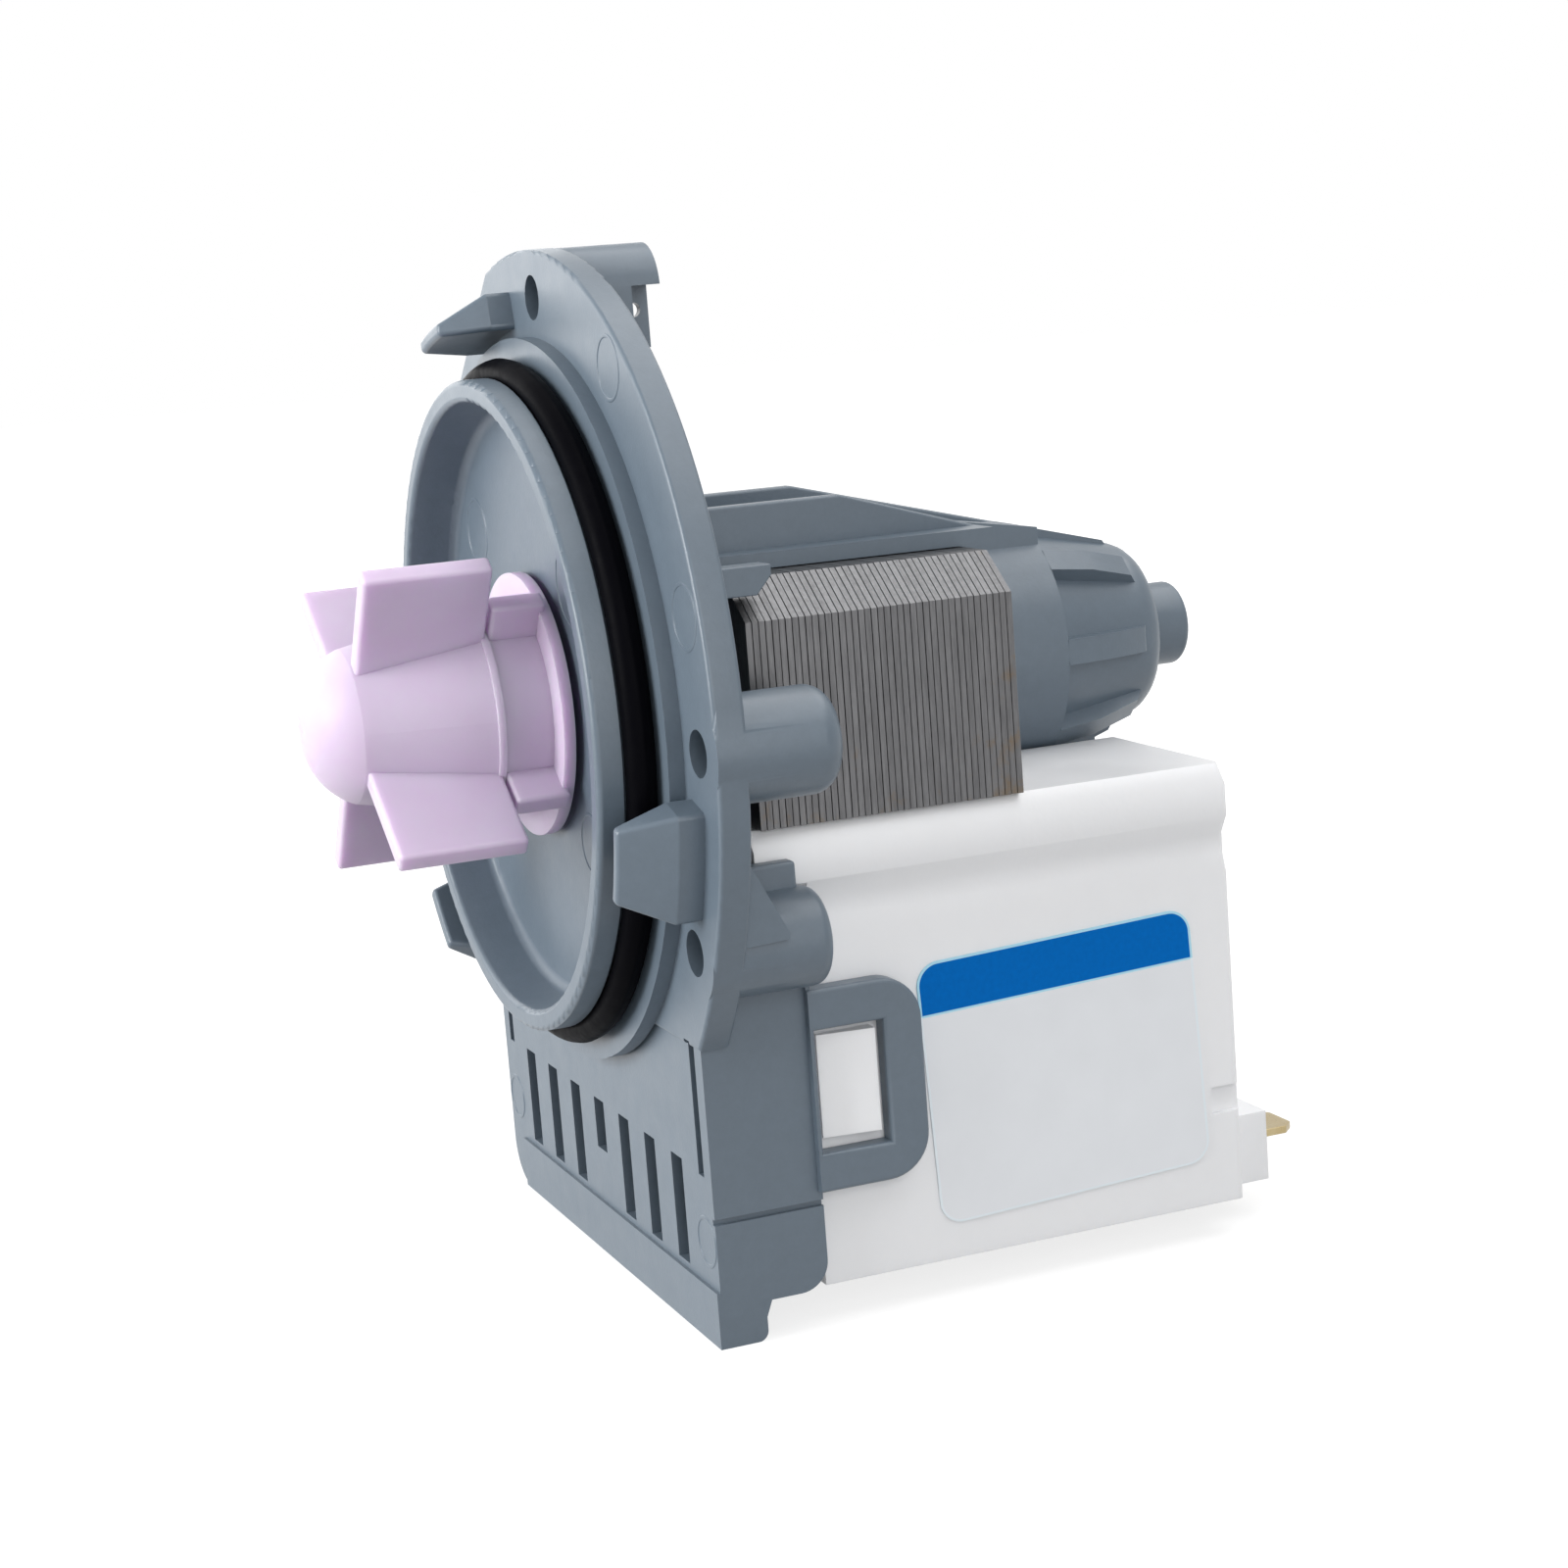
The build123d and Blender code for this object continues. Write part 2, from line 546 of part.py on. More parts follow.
# Catches of the coil housing in the windows of the loops
CATCH_FRONT_GAP = 0.5
CATCH_REAR_GAP = 0.8
CATCH_TOP_GAP = 0.7
CATCH_LOW_GAP = 1.2
CATCH_LOW_PROUD = 0.8
CATCH_HIGH_PROUD = 1.6
CATCH_START_Y = WINDOW_START_Y + CATCH_FRONT_GAP
CATCH_END_Y = WINDOW_END_Y - CATCH_REAR_GAP
CATCH_TOP_Z = WINDOW_TOP_Z - CATCH_TOP_GAP
CATCH_BOTTOM_Z = WINDOW_BOTTOM_Z + CATCH_LOW_GAP
CATCH_LOW_X = HOUSING_HALF + CATCH_LOW_PROUD
CATCH_HIGH_X = HOUSING_HALF + CATCH_HIGH_PROUD

# Rating label
LABEL_T = 0.12
LABEL_GAP = 0.03
LABEL_R = 2.3
LABEL_TILT = 2.4            # the label is stuck on a little askew, in degrees
LABEL_FRONT_MARGIN = 0.9
LABEL_REAR_MARGIN = 4.3
LABEL_TOP_MARGIN = 3.5
LABEL_LOW_MARGIN = 4.0
LABEL_START_Y = LOOP_END_Y + LABEL_FRONT_MARGIN
LABEL_END_Y = HOUSING_END_Y - LABEL_REAR_MARGIN
LABEL_TOP_Z = SIDE_START_Z - LABEL_TOP_MARGIN
LABEL_BOTTOM_Z = HOUSING_BOTTOM_Z + LABEL_LOW_MARGIN


def turned(profile):
    """A solid of revolution about the pump axis from points (radius, y)."""
    face = make_face(Polyline([(r, y, 0) for r, y in profile], close=True))
    return revolve(face, Axis.Y, TURN)


def rod(radius, y0, y1, x=0.0, z=0.0):
    """A cylinder along Y from y0 to y1."""
    start = Plane(origin=(x, y0, z), x_dir=(1, 0, 0), z_dir=(0, 1, 0))
    return extrude(start * Circle(radius), amount=y1 - y0)


def tube(outer, inner, y0, y1):
    """A hollow cylinder about the pump axis."""
    return turned([(inner, y0), (outer, y0), (outer, y1), (inner, y1)])


def block(x0, x1, y0, y1, z0, z1):
    """A box given by its lowest and highest place along each axis."""
    centre = Pos((x0 + x1) / 2, (y0 + y1) / 2, (z0 + z1) / 2)
    return centre * Box(x1 - x0, y1 - y0, z1 - z0)


def profile_along_y(points, y0, y1):
    """A prism along Y from an outline of (x, z) points."""
    face = make_face(Polyline([(x, y0, z) for x, z in points], close=True))
    return extrude(face, amount=y1 - y0, dir=(0, 1, 0))


def profile_along_x(points, x0, x1):
    """A prism along X from an outline of (y, z) points."""
    face = make_face(Polyline([(x0, y, z) for y, z in points], close=True))
    return extrude(face, amount=x1 - x0, dir=(1, 0, 0))


def profile_along_z(points, z0, z1):
    """A prism along Z from an outline of (x, y) points."""
    face = make_face(Polyline([(x, y, z0) for x, y in points], close=True))
    return extrude(face, amount=z1 - z0, dir=(0, 0, 1))


def around(shape, angle):
    """The shape turned about the pump axis, counted from +X toward +Z."""
    return shape.rotate(Axis.Y, -angle)


def mirrored(shape):
    """The shape mirrored to the other side of the plane x = 0."""
    return mirror(shape, about=Plane.YZ)


def screw_place(angle):
    """The x and z of a screw hole at this angle on the screw circle."""
    return SCREW_CIRCLE_R * cos(radians(angle)), SCREW_CIRCLE_R * sin(radians(angle))


def rounded_panel(y0, y1, z0, z1, x0, x1, radius):
    """A plate lying in the YZ plane with rounded corners."""
    centre = Plane(origin=(x0, (y0 + y1) / 2, (z0 + z1) / 2), x_dir=(0, 1, 0), z_dir=(1, 0, 0))
    return extrude(centre * RectangleRounded(y1 - y0, z1 - z0, radius), amount=x1 - x0)


def edges_at_y(shape, y):
    """The edges of the shape that lie in the plane at this y."""
    return shape.edges().filter_by_position(Axis.Y, y - SEAT_GAP / 2, y + SEAT_GAP / 2)


def flange_plate():
    """The round flange, cut flat below and along a chord at the upper left."""
    toward = (cos(radians(FLAT_ANGLE)), 0, sin(radians(FLAT_ANGLE)))
    front = Plane(origin=(0, 0, 0), x_dir=toward, z_dir=(0, 1, 0))
    beyond = Pos(2 * FLANGE_R - FLAT_DEPTH, 0) * Rectangle(2 * FLANGE_R, 2 * FLANGE_R)
    plate = extrude(front * (Circle(FLANGE_R) - beyond), amount=FLANGE_T)
    below = block(-FLANGE_R - OVERRUN, FLANGE_R + OVERRUN, -OVERRUN, FLANGE_T + OVERRUN,
                  -FLANGE_R - OVERRUN, FLANGE_BOTTOM_Z)
    plate = plate - below
    return fillet(edges_at_y(plate, 0) + edges_at_y(plate, FLANGE_T), FLANGE_ROUND)


def spigot():
    """The cup in front of the flange with the seat of its sealing ring."""
    cup = turned([
        (0, FLOOR_Y),
        (RECESS_FLOOR_R, FLOOR_Y),
        (RECESS_MOUTH_R, RIM_FRONT_Y),
        (RIM_R, RIM_FRONT_Y),
        (RIM_R, RIM_FRONT_Y + LIP_T),
        (SEAT_R, RIM_FRONT_Y + LIP_T),
        (SEAT_R, -SHOULDER_H),
        (SHOULDER_R, -SHOULDER_H),
        (SHOULDER_R, 0),
        (SHOULDER_R - SHOULDER_RELIEF, 0),
        (SHOULDER_R - SHOULDER_RELIEF, FLANGE_T),
        (0, FLANGE_T),
    ])
    cup = fillet(edges_at_y(cup, FLOOR_Y), FLOOR_BLEND)
    return fillet(edges_at_y(cup, RIM_FRONT_Y), RIM_ROUND)


def floor_relief():
    """The ring-shaped hollow behind the cup floor that keeps the floor thin."""
    return turned([
        (STOP_R, FLOOR_Y + FLOOR_T), (RECESS_FLOOR_R, FLOOR_Y + FLOOR_T),
        (RECESS_FLOOR_R, FLANGE_T + OVERRUN), (STOP_R, FLANGE_T + OVERRUN),
    ])


def lug(angle):
    """A bayonet lug that narrows and slopes toward its tip."""
    ring = turned([
        (LUG_INNER_R, FLANGE_T / 2),
        (LUG_OUTER_R, FLANGE_T / 2),
        (LUG_OUTER_R, LUG_SHOULDER_Y),
        (LUG_TIP_R, LUG_TIP_Y),
        (LUG_INNER_R, LUG_TIP_Y),
    ])
    outline = [(FLANGE_T, -LUG_ROOT_HALF), (FLANGE_T, LUG_ROOT_HALF), (LUG_SHOULDER_Y, LUG_ROOT_HALF),
               (LUG_TIP_Y, LUG_TIP_HALF), (LUG_TIP_Y, -LUG_TIP_HALF), (LUG_SHOULDER_Y, -LUG_ROOT_HALF)]
    wedge = profile_along_x(outline, LUG_INNER_R / 2, LUG_OUTER_R + OVERRUN)
    solid = ring & wedge
    return around(fillet(solid.edges(), LUG_ROUND), angle)


def round_rear_edge(shape, y, radius):
    """The shape with its edges in the plane at this y rounded."""
    return fillet(edges_at_y(shape, y), radius)


def softened(shape, radius):
    """The shape with all its edges rounded."""
    return fillet(shape.edges(), radius)


def screw_bosses():
    """The closed bosses behind the screw holes, with the gussets of the lower two."""
    right_x, right_z = screw_place(RIGHT_BOSS_ANGLE)
    right = rod(RIGHT_BOSS_R, 0, RIGHT_BOSS_END_Y, right_x, right_z)
    bosses = round_rear_edge(right, RIGHT_BOSS_END_Y, RIGHT_BOSS_ROUND)
    for angle in LOWER_BOSS_ANGLES:
        x, z = screw_place(angle)
        lower = rod(LOWER_BOSS_R, 0, LOWER_BOSS_END_Y, x, z)
        bosses += round_rear_edge(lower, LOWER_BOSS_END_Y, LOWER_BOSS_ROUND)
    x, z = screw_place(LOWER_BOSS_ANGLES[0])
    right_gusset = boss_gusset(x, z)
    return bosses + right_gusset + mirrored(right_gusset) + top_boss()


def boss_gusset(x, z):
    """The upright gusset beside a lower boss and the shelf it stands on."""
    reach = FLANGE_T + GUSSET_REACH
    outer = x + GUSSET_SHIFT + GUSSET_T / 2
    upright = [(0, z + GUSSET_RISE), (FLANGE_T, z + GUSSET_RISE),
               (reach, z + SHELF_TIP_RISE), (0, z + SHELF_TIP_RISE)]
    shelf = [(0, z + SHELF_RISE), (FLANGE_T, z + SHELF_RISE), (reach, z + SHELF_TIP_RISE),
             (reach, z + SHELF_TIP_RISE - SHELF_TIP_T), (FLANGE_T, z + SHELF_RISE - SHELF_T),
             (0, z + SHELF_RISE - SHELF_T)]
    return profile_along_x(upright, outer - GUSSET_T, outer) + profile_along_x(shelf, x, outer)


def top_boss():
    """The boss at the top, with a pocket in its side and a small hole through the web."""
    x, z = screw_place(TOP_BOSS_ANGLE)
    boss = rod(TOP_BOSS_R, 0, TOP_BOSS_END_Y, x, z)
    web_bottom = z - TOP_BOSS_R - WEB_DROP
    web = block(x - TOP_BOSS_R, x + TOP_BOSS_R, 0, TOP_BOSS_END_Y, web_bottom, z)
    pocket_y = TOP_BOSS_END_Y - POCKET_LENGTH
    pocket = block(x + POCKET_WALL, x + TOP_BOSS_R + OVERRUN, pocket_y,
                   TOP_BOSS_END_Y + OVERRUN, web_bottom - OVERRUN, z + POCKET_DROP)
    far_pocket = block(x - TOP_BOSS_R - OVERRUN, x - POCKET_WALL, pocket_y,
                       TOP_BOSS_END_Y + OVERRUN, web_bottom - OVERRUN, z + POCKET_DROP)
    hole_y = TOP_BOSS_END_Y - WEB_HOLE_SETBACK
    hole_plane = Plane(origin=(x - TOP_BOSS_R, hole_y, z - WEB_HOLE_DROP), z_dir=(1, 0, 0))
    hole = extrude(hole_plane * Circle(WEB_HOLE_R), amount=2 * TOP_BOSS_R)
    return boss + web - pocket - far_pocket - hole


def screw_holes():
    """The blind screw holes, open to the front."""
    holes = Part()
    for angle in (TOP_BOSS_ANGLE, RIGHT_BOSS_ANGLE) + LOWER_BOSS_ANGLES:
        x, z = screw_place(angle)
        holes += rod(SCREW_HOLE_R, -OVERRUN, SCREW_HOLE_DEPTH, x, z)
    return holes


def dome_end():
    """The points (radius, y) of the rounded rear end of the dome."""
    points = []
    for step in range(DOME_END_STEPS + 1):
        turn = radians(TURN / 4 * step / DOME_END_STEPS)
        points.append((DOME_END_R + DOME_END_TAPER * cos(turn), DOME_CORE_END_Y + DOME_END_L * sin(turn)))
    return points


def dome_rib(angle):
    """One of the ribs that run over the rear dome and end before its rounded end."""
    rib_end_y = DOME_END_Y - DOME_RIB_END_INSET
    profile = [
        (DOME_Y, 0), (DOME_Y, CAN_R), (DOME_Y + DOME_RIB_MID_L, CAN_R - DOME_RIB_MID_DROP),
        (DOME_Y + DOME_RIB_LOW_L, CAN_R - DOME_RIB_LOW_DROP), (rib_end_y, DOME_END_R), (rib_end_y, 0),
    ]
    return around(profile_along_x(profile, -DOME_RIB_T / 2, DOME_RIB_T / 2), angle)


def rotor_can():
    """The tube round the rotor with its ribbed dome and the nub behind it."""
    outside = turned([
        (0, 0), (STOP_R, 0), (STOP_R, STOP_L), (CAN_R, STOP_L), (CAN_R, DOME_Y),
        (DOME_CORE_R, DOME_Y), *dome_end(), (0, DOME_END_Y),
    ])
    nub = rod(NUB_R, DOME_END_Y - OVERRUN, NUB_END_Y)
    outside += round_rear_edge(nub, NUB_END_Y, NUB_ROUND)
    for number in range(DOME_RIB_COUNT):
        outside += dome_rib(number * TURN / DOME_RIB_COUNT)
    return outside + can_roof() - above_fin_line()


def fin_line(y):
    """The height of the sloping top edge of the middle fin at this y."""
    slope = (MID_FIN_END_Z - FIN_TOP_Z) / (MID_FIN_END_Y - MID_FIN_KNEE_Y)
    return FIN_TOP_Z + slope * (y - MID_FIN_KNEE_Y)


def can_roof():
    """The flat-sided block on the can between the top plate and the dome."""
    outline = [(PLATE_END_Y - OVERRUN, PLATE_BOTTOM_Z), (PLATE_END_Y - OVERRUN, PLATE_TOP_Z),
               (PLATE_END_Y, PLATE_TOP_Z), (DOME_Y, fin_line(DOME_Y)), (DOME_Y, CAN_NECK_R),
               (PLATE_END_Y, CAN_NECK_R)]
    return profile_along_x(outline, -ROOF_HALF, ROOF_HALF)


def above_fin_line():
    """All that would stand out above the sloping top edge of the middle fin."""
    outline = [(MID_FIN_KNEE_Y, FIN_TOP_Z), (DOME_END_Y, fin_line(DOME_END_Y)),
               (DOME_END_Y, FIN_TOP_Z)]
    return profile_along_x(outline, -STOP_R, STOP_R)


def can_bore():
    """The space for the rotor, its rear bearing and the bearing holder."""
    pocket_r = CUSHION_R + CUSHION_GAP
    pocket_end = REAR_BEARING_START_Y + BEARING_L + SEAT_GAP
    holder_end = FLOOR_Y + HOLDER_T + SEAT_GAP
    return turned([
        (0, FLOOR_Y - OVERRUN), (HOLDER_R + HUB_GAP, FLOOR_Y - OVERRUN),
        (HOLDER_R + HUB_GAP, holder_end),
        (CAN_BORE_R, holder_end), (CAN_BORE_R, CAN_BORE_END_Y), (CAN_NECK_R, CAN_CONE_END_Y),
        (CAN_NECK_R, REAR_BEARING_START_Y), (pocket_r, REAR_BEARING_START_Y),
        (pocket_r, pocket_end), (SHAFT_END_BORE_R, pocket_end),
        (SHAFT_END_BORE_R, SHAFT_END_BORE_Y), (0, SHAFT_END_BORE_Y),
    ])


def top_plate():
    """The plate over the pole cores, its fins and the small fin under the dome."""
    plate_top = PLATE_BOTTOM_Z + PLATE_T
    half_fin = FIN_T / 2
    plate = block(-PLATE_HALF, PLATE_HALF, 0, PLATE_END_Y, PLATE_BOTTOM_Z, plate_top)
    plate += block(-KEY_HALF, KEY_HALF, 0, PLATE_END_Y, KEY_BOTTOM_Z, plate_top)
    side = [(0, PLATE_BOTTOM_Z), (0, FIN_TOP_Z), (SIDE_FIN_KNEE_Y, FIN_TOP_Z),
            (PLATE_END_Y, plate_top), (PLATE_END_Y, PLATE_BOTTOM_Z)]
    low = [(0, PLATE_BOTTOM_Z), (0, LOW_FIN_TOP_Z), (SIDE_FIN_KNEE_Y, LOW_FIN_TOP_Z),
           (PLATE_END_Y, plate_top), (PLATE_END_Y, PLATE_BOTTOM_Z)]
    plate += softened(profile_along_x(side, SIDE_FIN_X - half_fin, SIDE_FIN_X + half_fin), FIN_ROUND)
    plate += softened(profile_along_x(low, -SIDE_FIN_X - half_fin, -SIDE_FIN_X + half_fin), FIN_ROUND)
    middle = [(0, FIN_ROOT_R), (0, FIN_TOP_Z), (MID_FIN_KNEE_Y, FIN_TOP_Z),
              (MID_FIN_END_Y, MID_FIN_END_Z), (MID_FIN_END_Y, DOME_END_R),
              (DOME_Y, CAN_NECK_R + SEAT_GAP), (CAN_BORE_END_Y, FIN_ROOT_R)]
    plate += softened(profile_along_x(middle, -half_fin, half_fin), FIN_ROUND)
    foot = [(FOOT_FIN_START_Y, -CAN_NECK_R), (FOOT_FIN_START_Y, FOOT_FIN_BOTTOM_Z),
            (FOOT_FIN_END_Y, FOOT_FIN_BOTTOM_Z), (FOOT_FIN_END_Y, -DOME_END_R)]
    return plate + profile_along_x(foot, -half_fin, half_fin)


def hook():
    """A hook over the front corner of the right pole core."""
    chamfer_run = POLE_CHAMFER_RUN - POLE_HALF + HOOK_INNER_X
    bottom = POLE_TOP_Z - chamfer_run * POLE_CHAMFER_DROP / POLE_CHAMFER_RUN + HOOK_GAP
    outline = [(0, HOOK_TOP_Z), (HOOK_TIP_Y, HOOK_TOP_Z), (HOOK_TIP_Y, HOOK_TIP_Z),
               (HOOK_NECK_Y, bottom), (0, bottom)]
    return softened(profile_along_x(outline, HOOK_INNER_X, HOOK_OUTER_X), HOOK_ROUND)


def bracket_front():
    """The front plate of the vent bracket with a rounded lower left corner."""
    plate = block(-BRACKET_HALF, BRACKET_HALF, BRACKET_FRONT_Y, BRACKET_BACK_Y,
                  FOOT_BOTTOM_Z, FLANGE_BOTTOM_Z + FLANGE_T)
    foot = block(-BRACKET_HALF, BRACKET_HALF, BRACKET_FRONT_Y, FOOT_END_Y,
                 FOOT_BOTTOM_Z, BRACKET_BOTTOM_Z + BRACKET_WALL)
    floor = block(-BRACKET_HALF, BRACKET_HALF, BRACKET_FRONT_Y, BRACKET_END_Y,
                  BRACKET_BOTTOM_Z, BRACKET_BOTTOM_Z + BRACKET_WALL)
    return plate + foot + floor


def bracket_side():
    """The right side wall of the vent bracket."""
    outline = [
        (BRACKET_FRONT_Y, BRACKET_TOP_Z), (BRACKET_END_Y, BRACKET_TOP_Z),
        (BRACKET_END_Y, BRACKET_BOTTOM_Z),
        (FOOT_RISE_Y, BRACKET_BOTTOM_Z), (FOOT_END_Y, FOOT_BOTTOM_Z + CORNER_R / 2),
        (FOOT_END_Y, FOOT_BOTTOM_Z), (BRACKET_FRONT_Y, FOOT_BOTTOM_Z),
    ]
    return profile_along_x(outline, BRACKET_HALF - BRACKET_WALL, BRACKET_HALF)


def bracket_slots():
    """The vent slots in the front plate."""
    y0 = BRACKET_FRONT_Y - OVERRUN
    y1 = BRACKET_BACK_Y + OVERRUN
    slots = Part()
    middle = (SLOT_COUNT - 1) / 2
    pitch = SLOT_ROW_HALF / middle
    for number in range(SLOT_COUNT):
        x = (number - middle) * pitch
        bottom = SHORT_SLOT_BOTTOM_Z if number == middle else SLOT_BOTTOM_Z
        slots += block(x - SLOT_W / 2, x + SLOT_W / 2, y0, y1, bottom, SLOT_TOP_Z)
    for side in (-1, 1):
        x = side * EDGE_SLOT_X
        slots += block(x - EDGE_SLOT_W / 2, x + EDGE_SLOT_W / 2, y0, y1,
                       EDGE_SLOT_BOTTOM_Z, EDGE_SLOT_TOP_Z)
    return slots


def clip_loop():
    """The right spring loop that snaps over the catch of the coil housing."""
    loop = rounded_panel(LOOP_ROOT_Y - LOOP_R, LOOP_END_Y, LOOP_BOTTOM_Z, LOOP_TOP_Z,
                         LOOP_INNER_X, LOOP_OUTER_X, LOOP_R)
    hidden = block(LOOP_INNER_X - OVERRUN, LOOP_OUTER_X + OVERRUN, LOOP_ROOT_Y - LOOP_R - OVERRUN,
                   LOOP_ROOT_Y, LOOP_BOTTOM_Z - OVERRUN, LOOP_TOP_Z + OVERRUN)
    window = block(LOOP_INNER_X - OVERRUN, LOOP_OUTER_X + OVERRUN, WINDOW_START_Y, WINDOW_END_Y,
                   WINDOW_BOTTOM_Z, WINDOW_TOP_Z)
    loop = loop - hidden - window
    outer = loop.edges().filter_by_position(Axis.X, LOOP_OUTER_X - SEAT_GAP, LOOP_OUTER_X + SEAT_GAP)
    outer = outer.filter_by_position(Axis.Y, BRACKET_END_Y, LOOP_END_Y + SEAT_GAP)
    root = block(BRACKET_HALF - BRACKET_WALL, LOOP_OUTER_X - TAB_ROUND, LOOP_ROOT_Y,
                 BRACKET_END_Y, LOOP_BOTTOM_Z, BRACKET_TOP_Z)
    return fillet(outer, TAB_ROUND) + root


def side_groove():
    """The shallow groove along the right side wall."""
    return block(BRACKET_HALF - GROOVE_DEPTH, BRACKET_HALF + OVERRUN, BRACKET_FRONT_Y - OVERRUN,
                 BRACKET_END_Y + OVERRUN, GROOVE_Z - GROOVE_H / 2, GROOVE_Z + GROOVE_H / 2)


def corner_cut():
    """What the rounded lower left corner of the bracket leaves out."""
    x = -BRACKET_HALF
    corner = block(x - OVERRUN, x + CORNER_R, BRACKET_FRONT_Y - OVERRUN, FOOT_END_Y + OVERRUN,
                   FOOT_BOTTOM_Z - OVERRUN, FOOT_BOTTOM_Z + CORNER_R)
    return corner - rod(CORNER_R, BRACKET_FRONT_Y - OVERRUN, FOOT_END_Y + OVERRUN,
                        x + CORNER_R, FOOT_BOTTOM_Z + CORNER_R)


def lower_edge_cut(y_end, z_bottom, radius):
    """What a rounded rear lower edge along X leaves out of the bracket."""
    y = y_end - radius
    z = z_bottom + radius
    reach = BRACKET_HALF + OVERRUN
    corner = block(-reach, reach, y, y_end + OVERRUN, z_bottom - OVERRUN, z)
    side = Plane(origin=(-reach, y, z), z_dir=(1, 0, 0))
    return corner - extrude(side * Circle(radius), amount=2 * reach)


def guide():
    """The guide tab beside the upper right edge of the coil housing."""
    tab = block(GUIDE_INNER_X, GUIDE_INNER_X + GUIDE_T, 0, GUIDE_END_Y, GUIDE_BOTTOM_Z, GUIDE_TOP_Z)
    return softened(tab, TAB_ROUND)


def make_front_body():
    """Flange, spigot, rotor can, fins and vent bracket, one moulding."""
    body = flange_plate() + spigot() - floor_relief() + rotor_can() + top_plate()
    for angle in LUG_ANGLES:
        body += lug(angle)
    body += screw_bosses()
    right = bracket_side() + clip_loop() + guide() + hook()
    band = block(-BRACKET_HALF + CORNER_R, BRACKET_HALF, BRACKET_FRONT_Y - BAND_STEP,
                 BRACKET_FRONT_Y + BAND_STEP, FOOT_BOTTOM_Z, BAND_TOP_Z)
    body += bracket_front() + right + mirrored(right) + band
    body -= bracket_slots() + side_groove() + corner_cut()
    body -= lower_edge_cut(BRACKET_END_Y, BRACKET_BOTTOM_Z, SIDE_CORNER_R)
    body -= lower_edge_cut(FOOT_END_Y, FOOT_BOTTOM_Z, FOOT_ROUND)
    body -= can_bore() + screw_holes()
    return body


def make_o_ring():
    """The sealing ring of round section on the spigot."""
    centre_r = SEAT_R + RING_SECTION_R + HUB_GAP
    y = -SHOULDER_H - RING_SECTION_R - HUB_GAP
    section = Plane.XY * Pos(centre_r, y) * Circle(RING_SECTION_R)
    return revolve(section, Axis.Y, TURN)


def make_bearing_holder():
    """The plug in the cup floor that carries the shaft seal and the front bearing."""
    pocket_r = CUSHION_R + CUSHION_GAP
    pocket_start = FRONT_BEARING_START_Y
    return turned([
        (SEAL_R + FIXED_GAP, FLOOR_Y), (HOLDER_R, FLOOR_Y), (HOLDER_R, FLOOR_Y + HOLDER_T),
        (HOLDER_HUB_R, FLOOR_Y + HOLDER_T), (HOLDER_HUB_R, HOLDER_END_Y),
        (pocket_r, HOLDER_END_Y), (pocket_r, pocket_start), (HOLDER_BORE_R, pocket_start),
        (HOLDER_BORE_R, SEAL_BACK_Y + SEAT_GAP), (SEAL_R + FIXED_GAP, SEAL_BACK_Y + SEAT_GAP),
    ])


def make_shaft_seal():
    """The rubber lip seal round the shaft."""
    lip_r = SHAFT_R + SEAL_LIP_GAP
    return turned([
        (SEAL_R, SEAL_FRONT_Y), (SEAL_R, SEAL_BACK_Y), (SEAL_R - SEAL_WALL, SEAL_BACK_Y),
        (SEAL_R - SEAL_WALL, SEAL_FRONT_Y + SEAL_FLOOR_T), (SEAL_LIP_R, SEAL_FRONT_Y + SEAL_FLOOR_T),
        (SEAL_LIP_R - SEAL_LIP_T / 2, SEAL_LIP_Y), (lip_r, SEAL_LIP_Y),
        (lip_r, SEAL_LIP_Y - SEAL_LIP_T), (lip_r + SEAL_LIP_T, SEAL_FRONT_Y),
    ])


def make_bearing(start):
    """A plain bearing bush for the shaft."""
    return tube(BEARING_R, SHAFT_R + RUNNING_GAP, start, start + BEARING_L)


def make_cushion(start):
    """The rubber ring between a bearing and its seat."""
    return tube(CUSHION_R, BEARING_R + FIXED_GAP, start, start + CUSHION_L)


def make_thrust_washer(start):
    """A thin washer between a bearing and the rotor."""
    return tube(WASHER_R, SHAFT_R + RUNNING_GAP, start, start + WASHER_T)


def make_shaft():
    """The steel shaft, chamfered at both ends."""
    return turned([
        (0, SHAFT_FRONT_Y), (SHAFT_R - SHAFT_CHAMFER, SHAFT_FRONT_Y),
        (SHAFT_R, SHAFT_FRONT_Y + SHAFT_CHAMFER), (SHAFT_R, SHAFT_REAR_Y - SHAFT_CHAMFER),
        (SHAFT_R - SHAFT_CHAMFER, SHAFT_REAR_Y), (0, SHAFT_REAR_Y),
    ])


def make_rotor_magnet():
    """The ferrite cylinder of the rotor."""
    return tube(MAGNET_R, SLEEVE_R + FIXED_GAP, MAGNET_START_Y, MAGNET_END_Y)


def make_rotor_sleeve():
    """The moulded sleeve between magnet and shaft, with a cap at each end."""
    bore = SHAFT_R + FIXED_GAP
    front_end = MAGNET_START_Y - FIXED_GAP
    rear_start = MAGNET_END_Y + FIXED_GAP
    return turned([
        (bore, SLEEVE_START_Y), (SLEEVE_CAP_R, SLEEVE_START_Y), (SLEEVE_CAP_R, front_end),
        (SLEEVE_R, front_end), (SLEEVE_R, rear_start), (SLEEVE_CAP_R, rear_start),
        (SLEEVE_CAP_R, rear_start + SLEEVE_CAP_T), (SLEEVE_R, rear_start + SLEEVE_CAP_T),
        (SLEEVE_R, SLEEVE_END_Y), (bore, SLEEVE_END_Y),
    ])


def sector(inner, outer, y0, y1, start, end):
    """A piece of a ring about the pump axis between two angles."""
    face = make_face(Polyline([(inner, y0, 0), (outer, y0, 0), (outer, y1, 0), (inner, y1, 0)],
                              close=True))
    part = revolve(face, Axis.Y, end - start)
    return around(part, end)


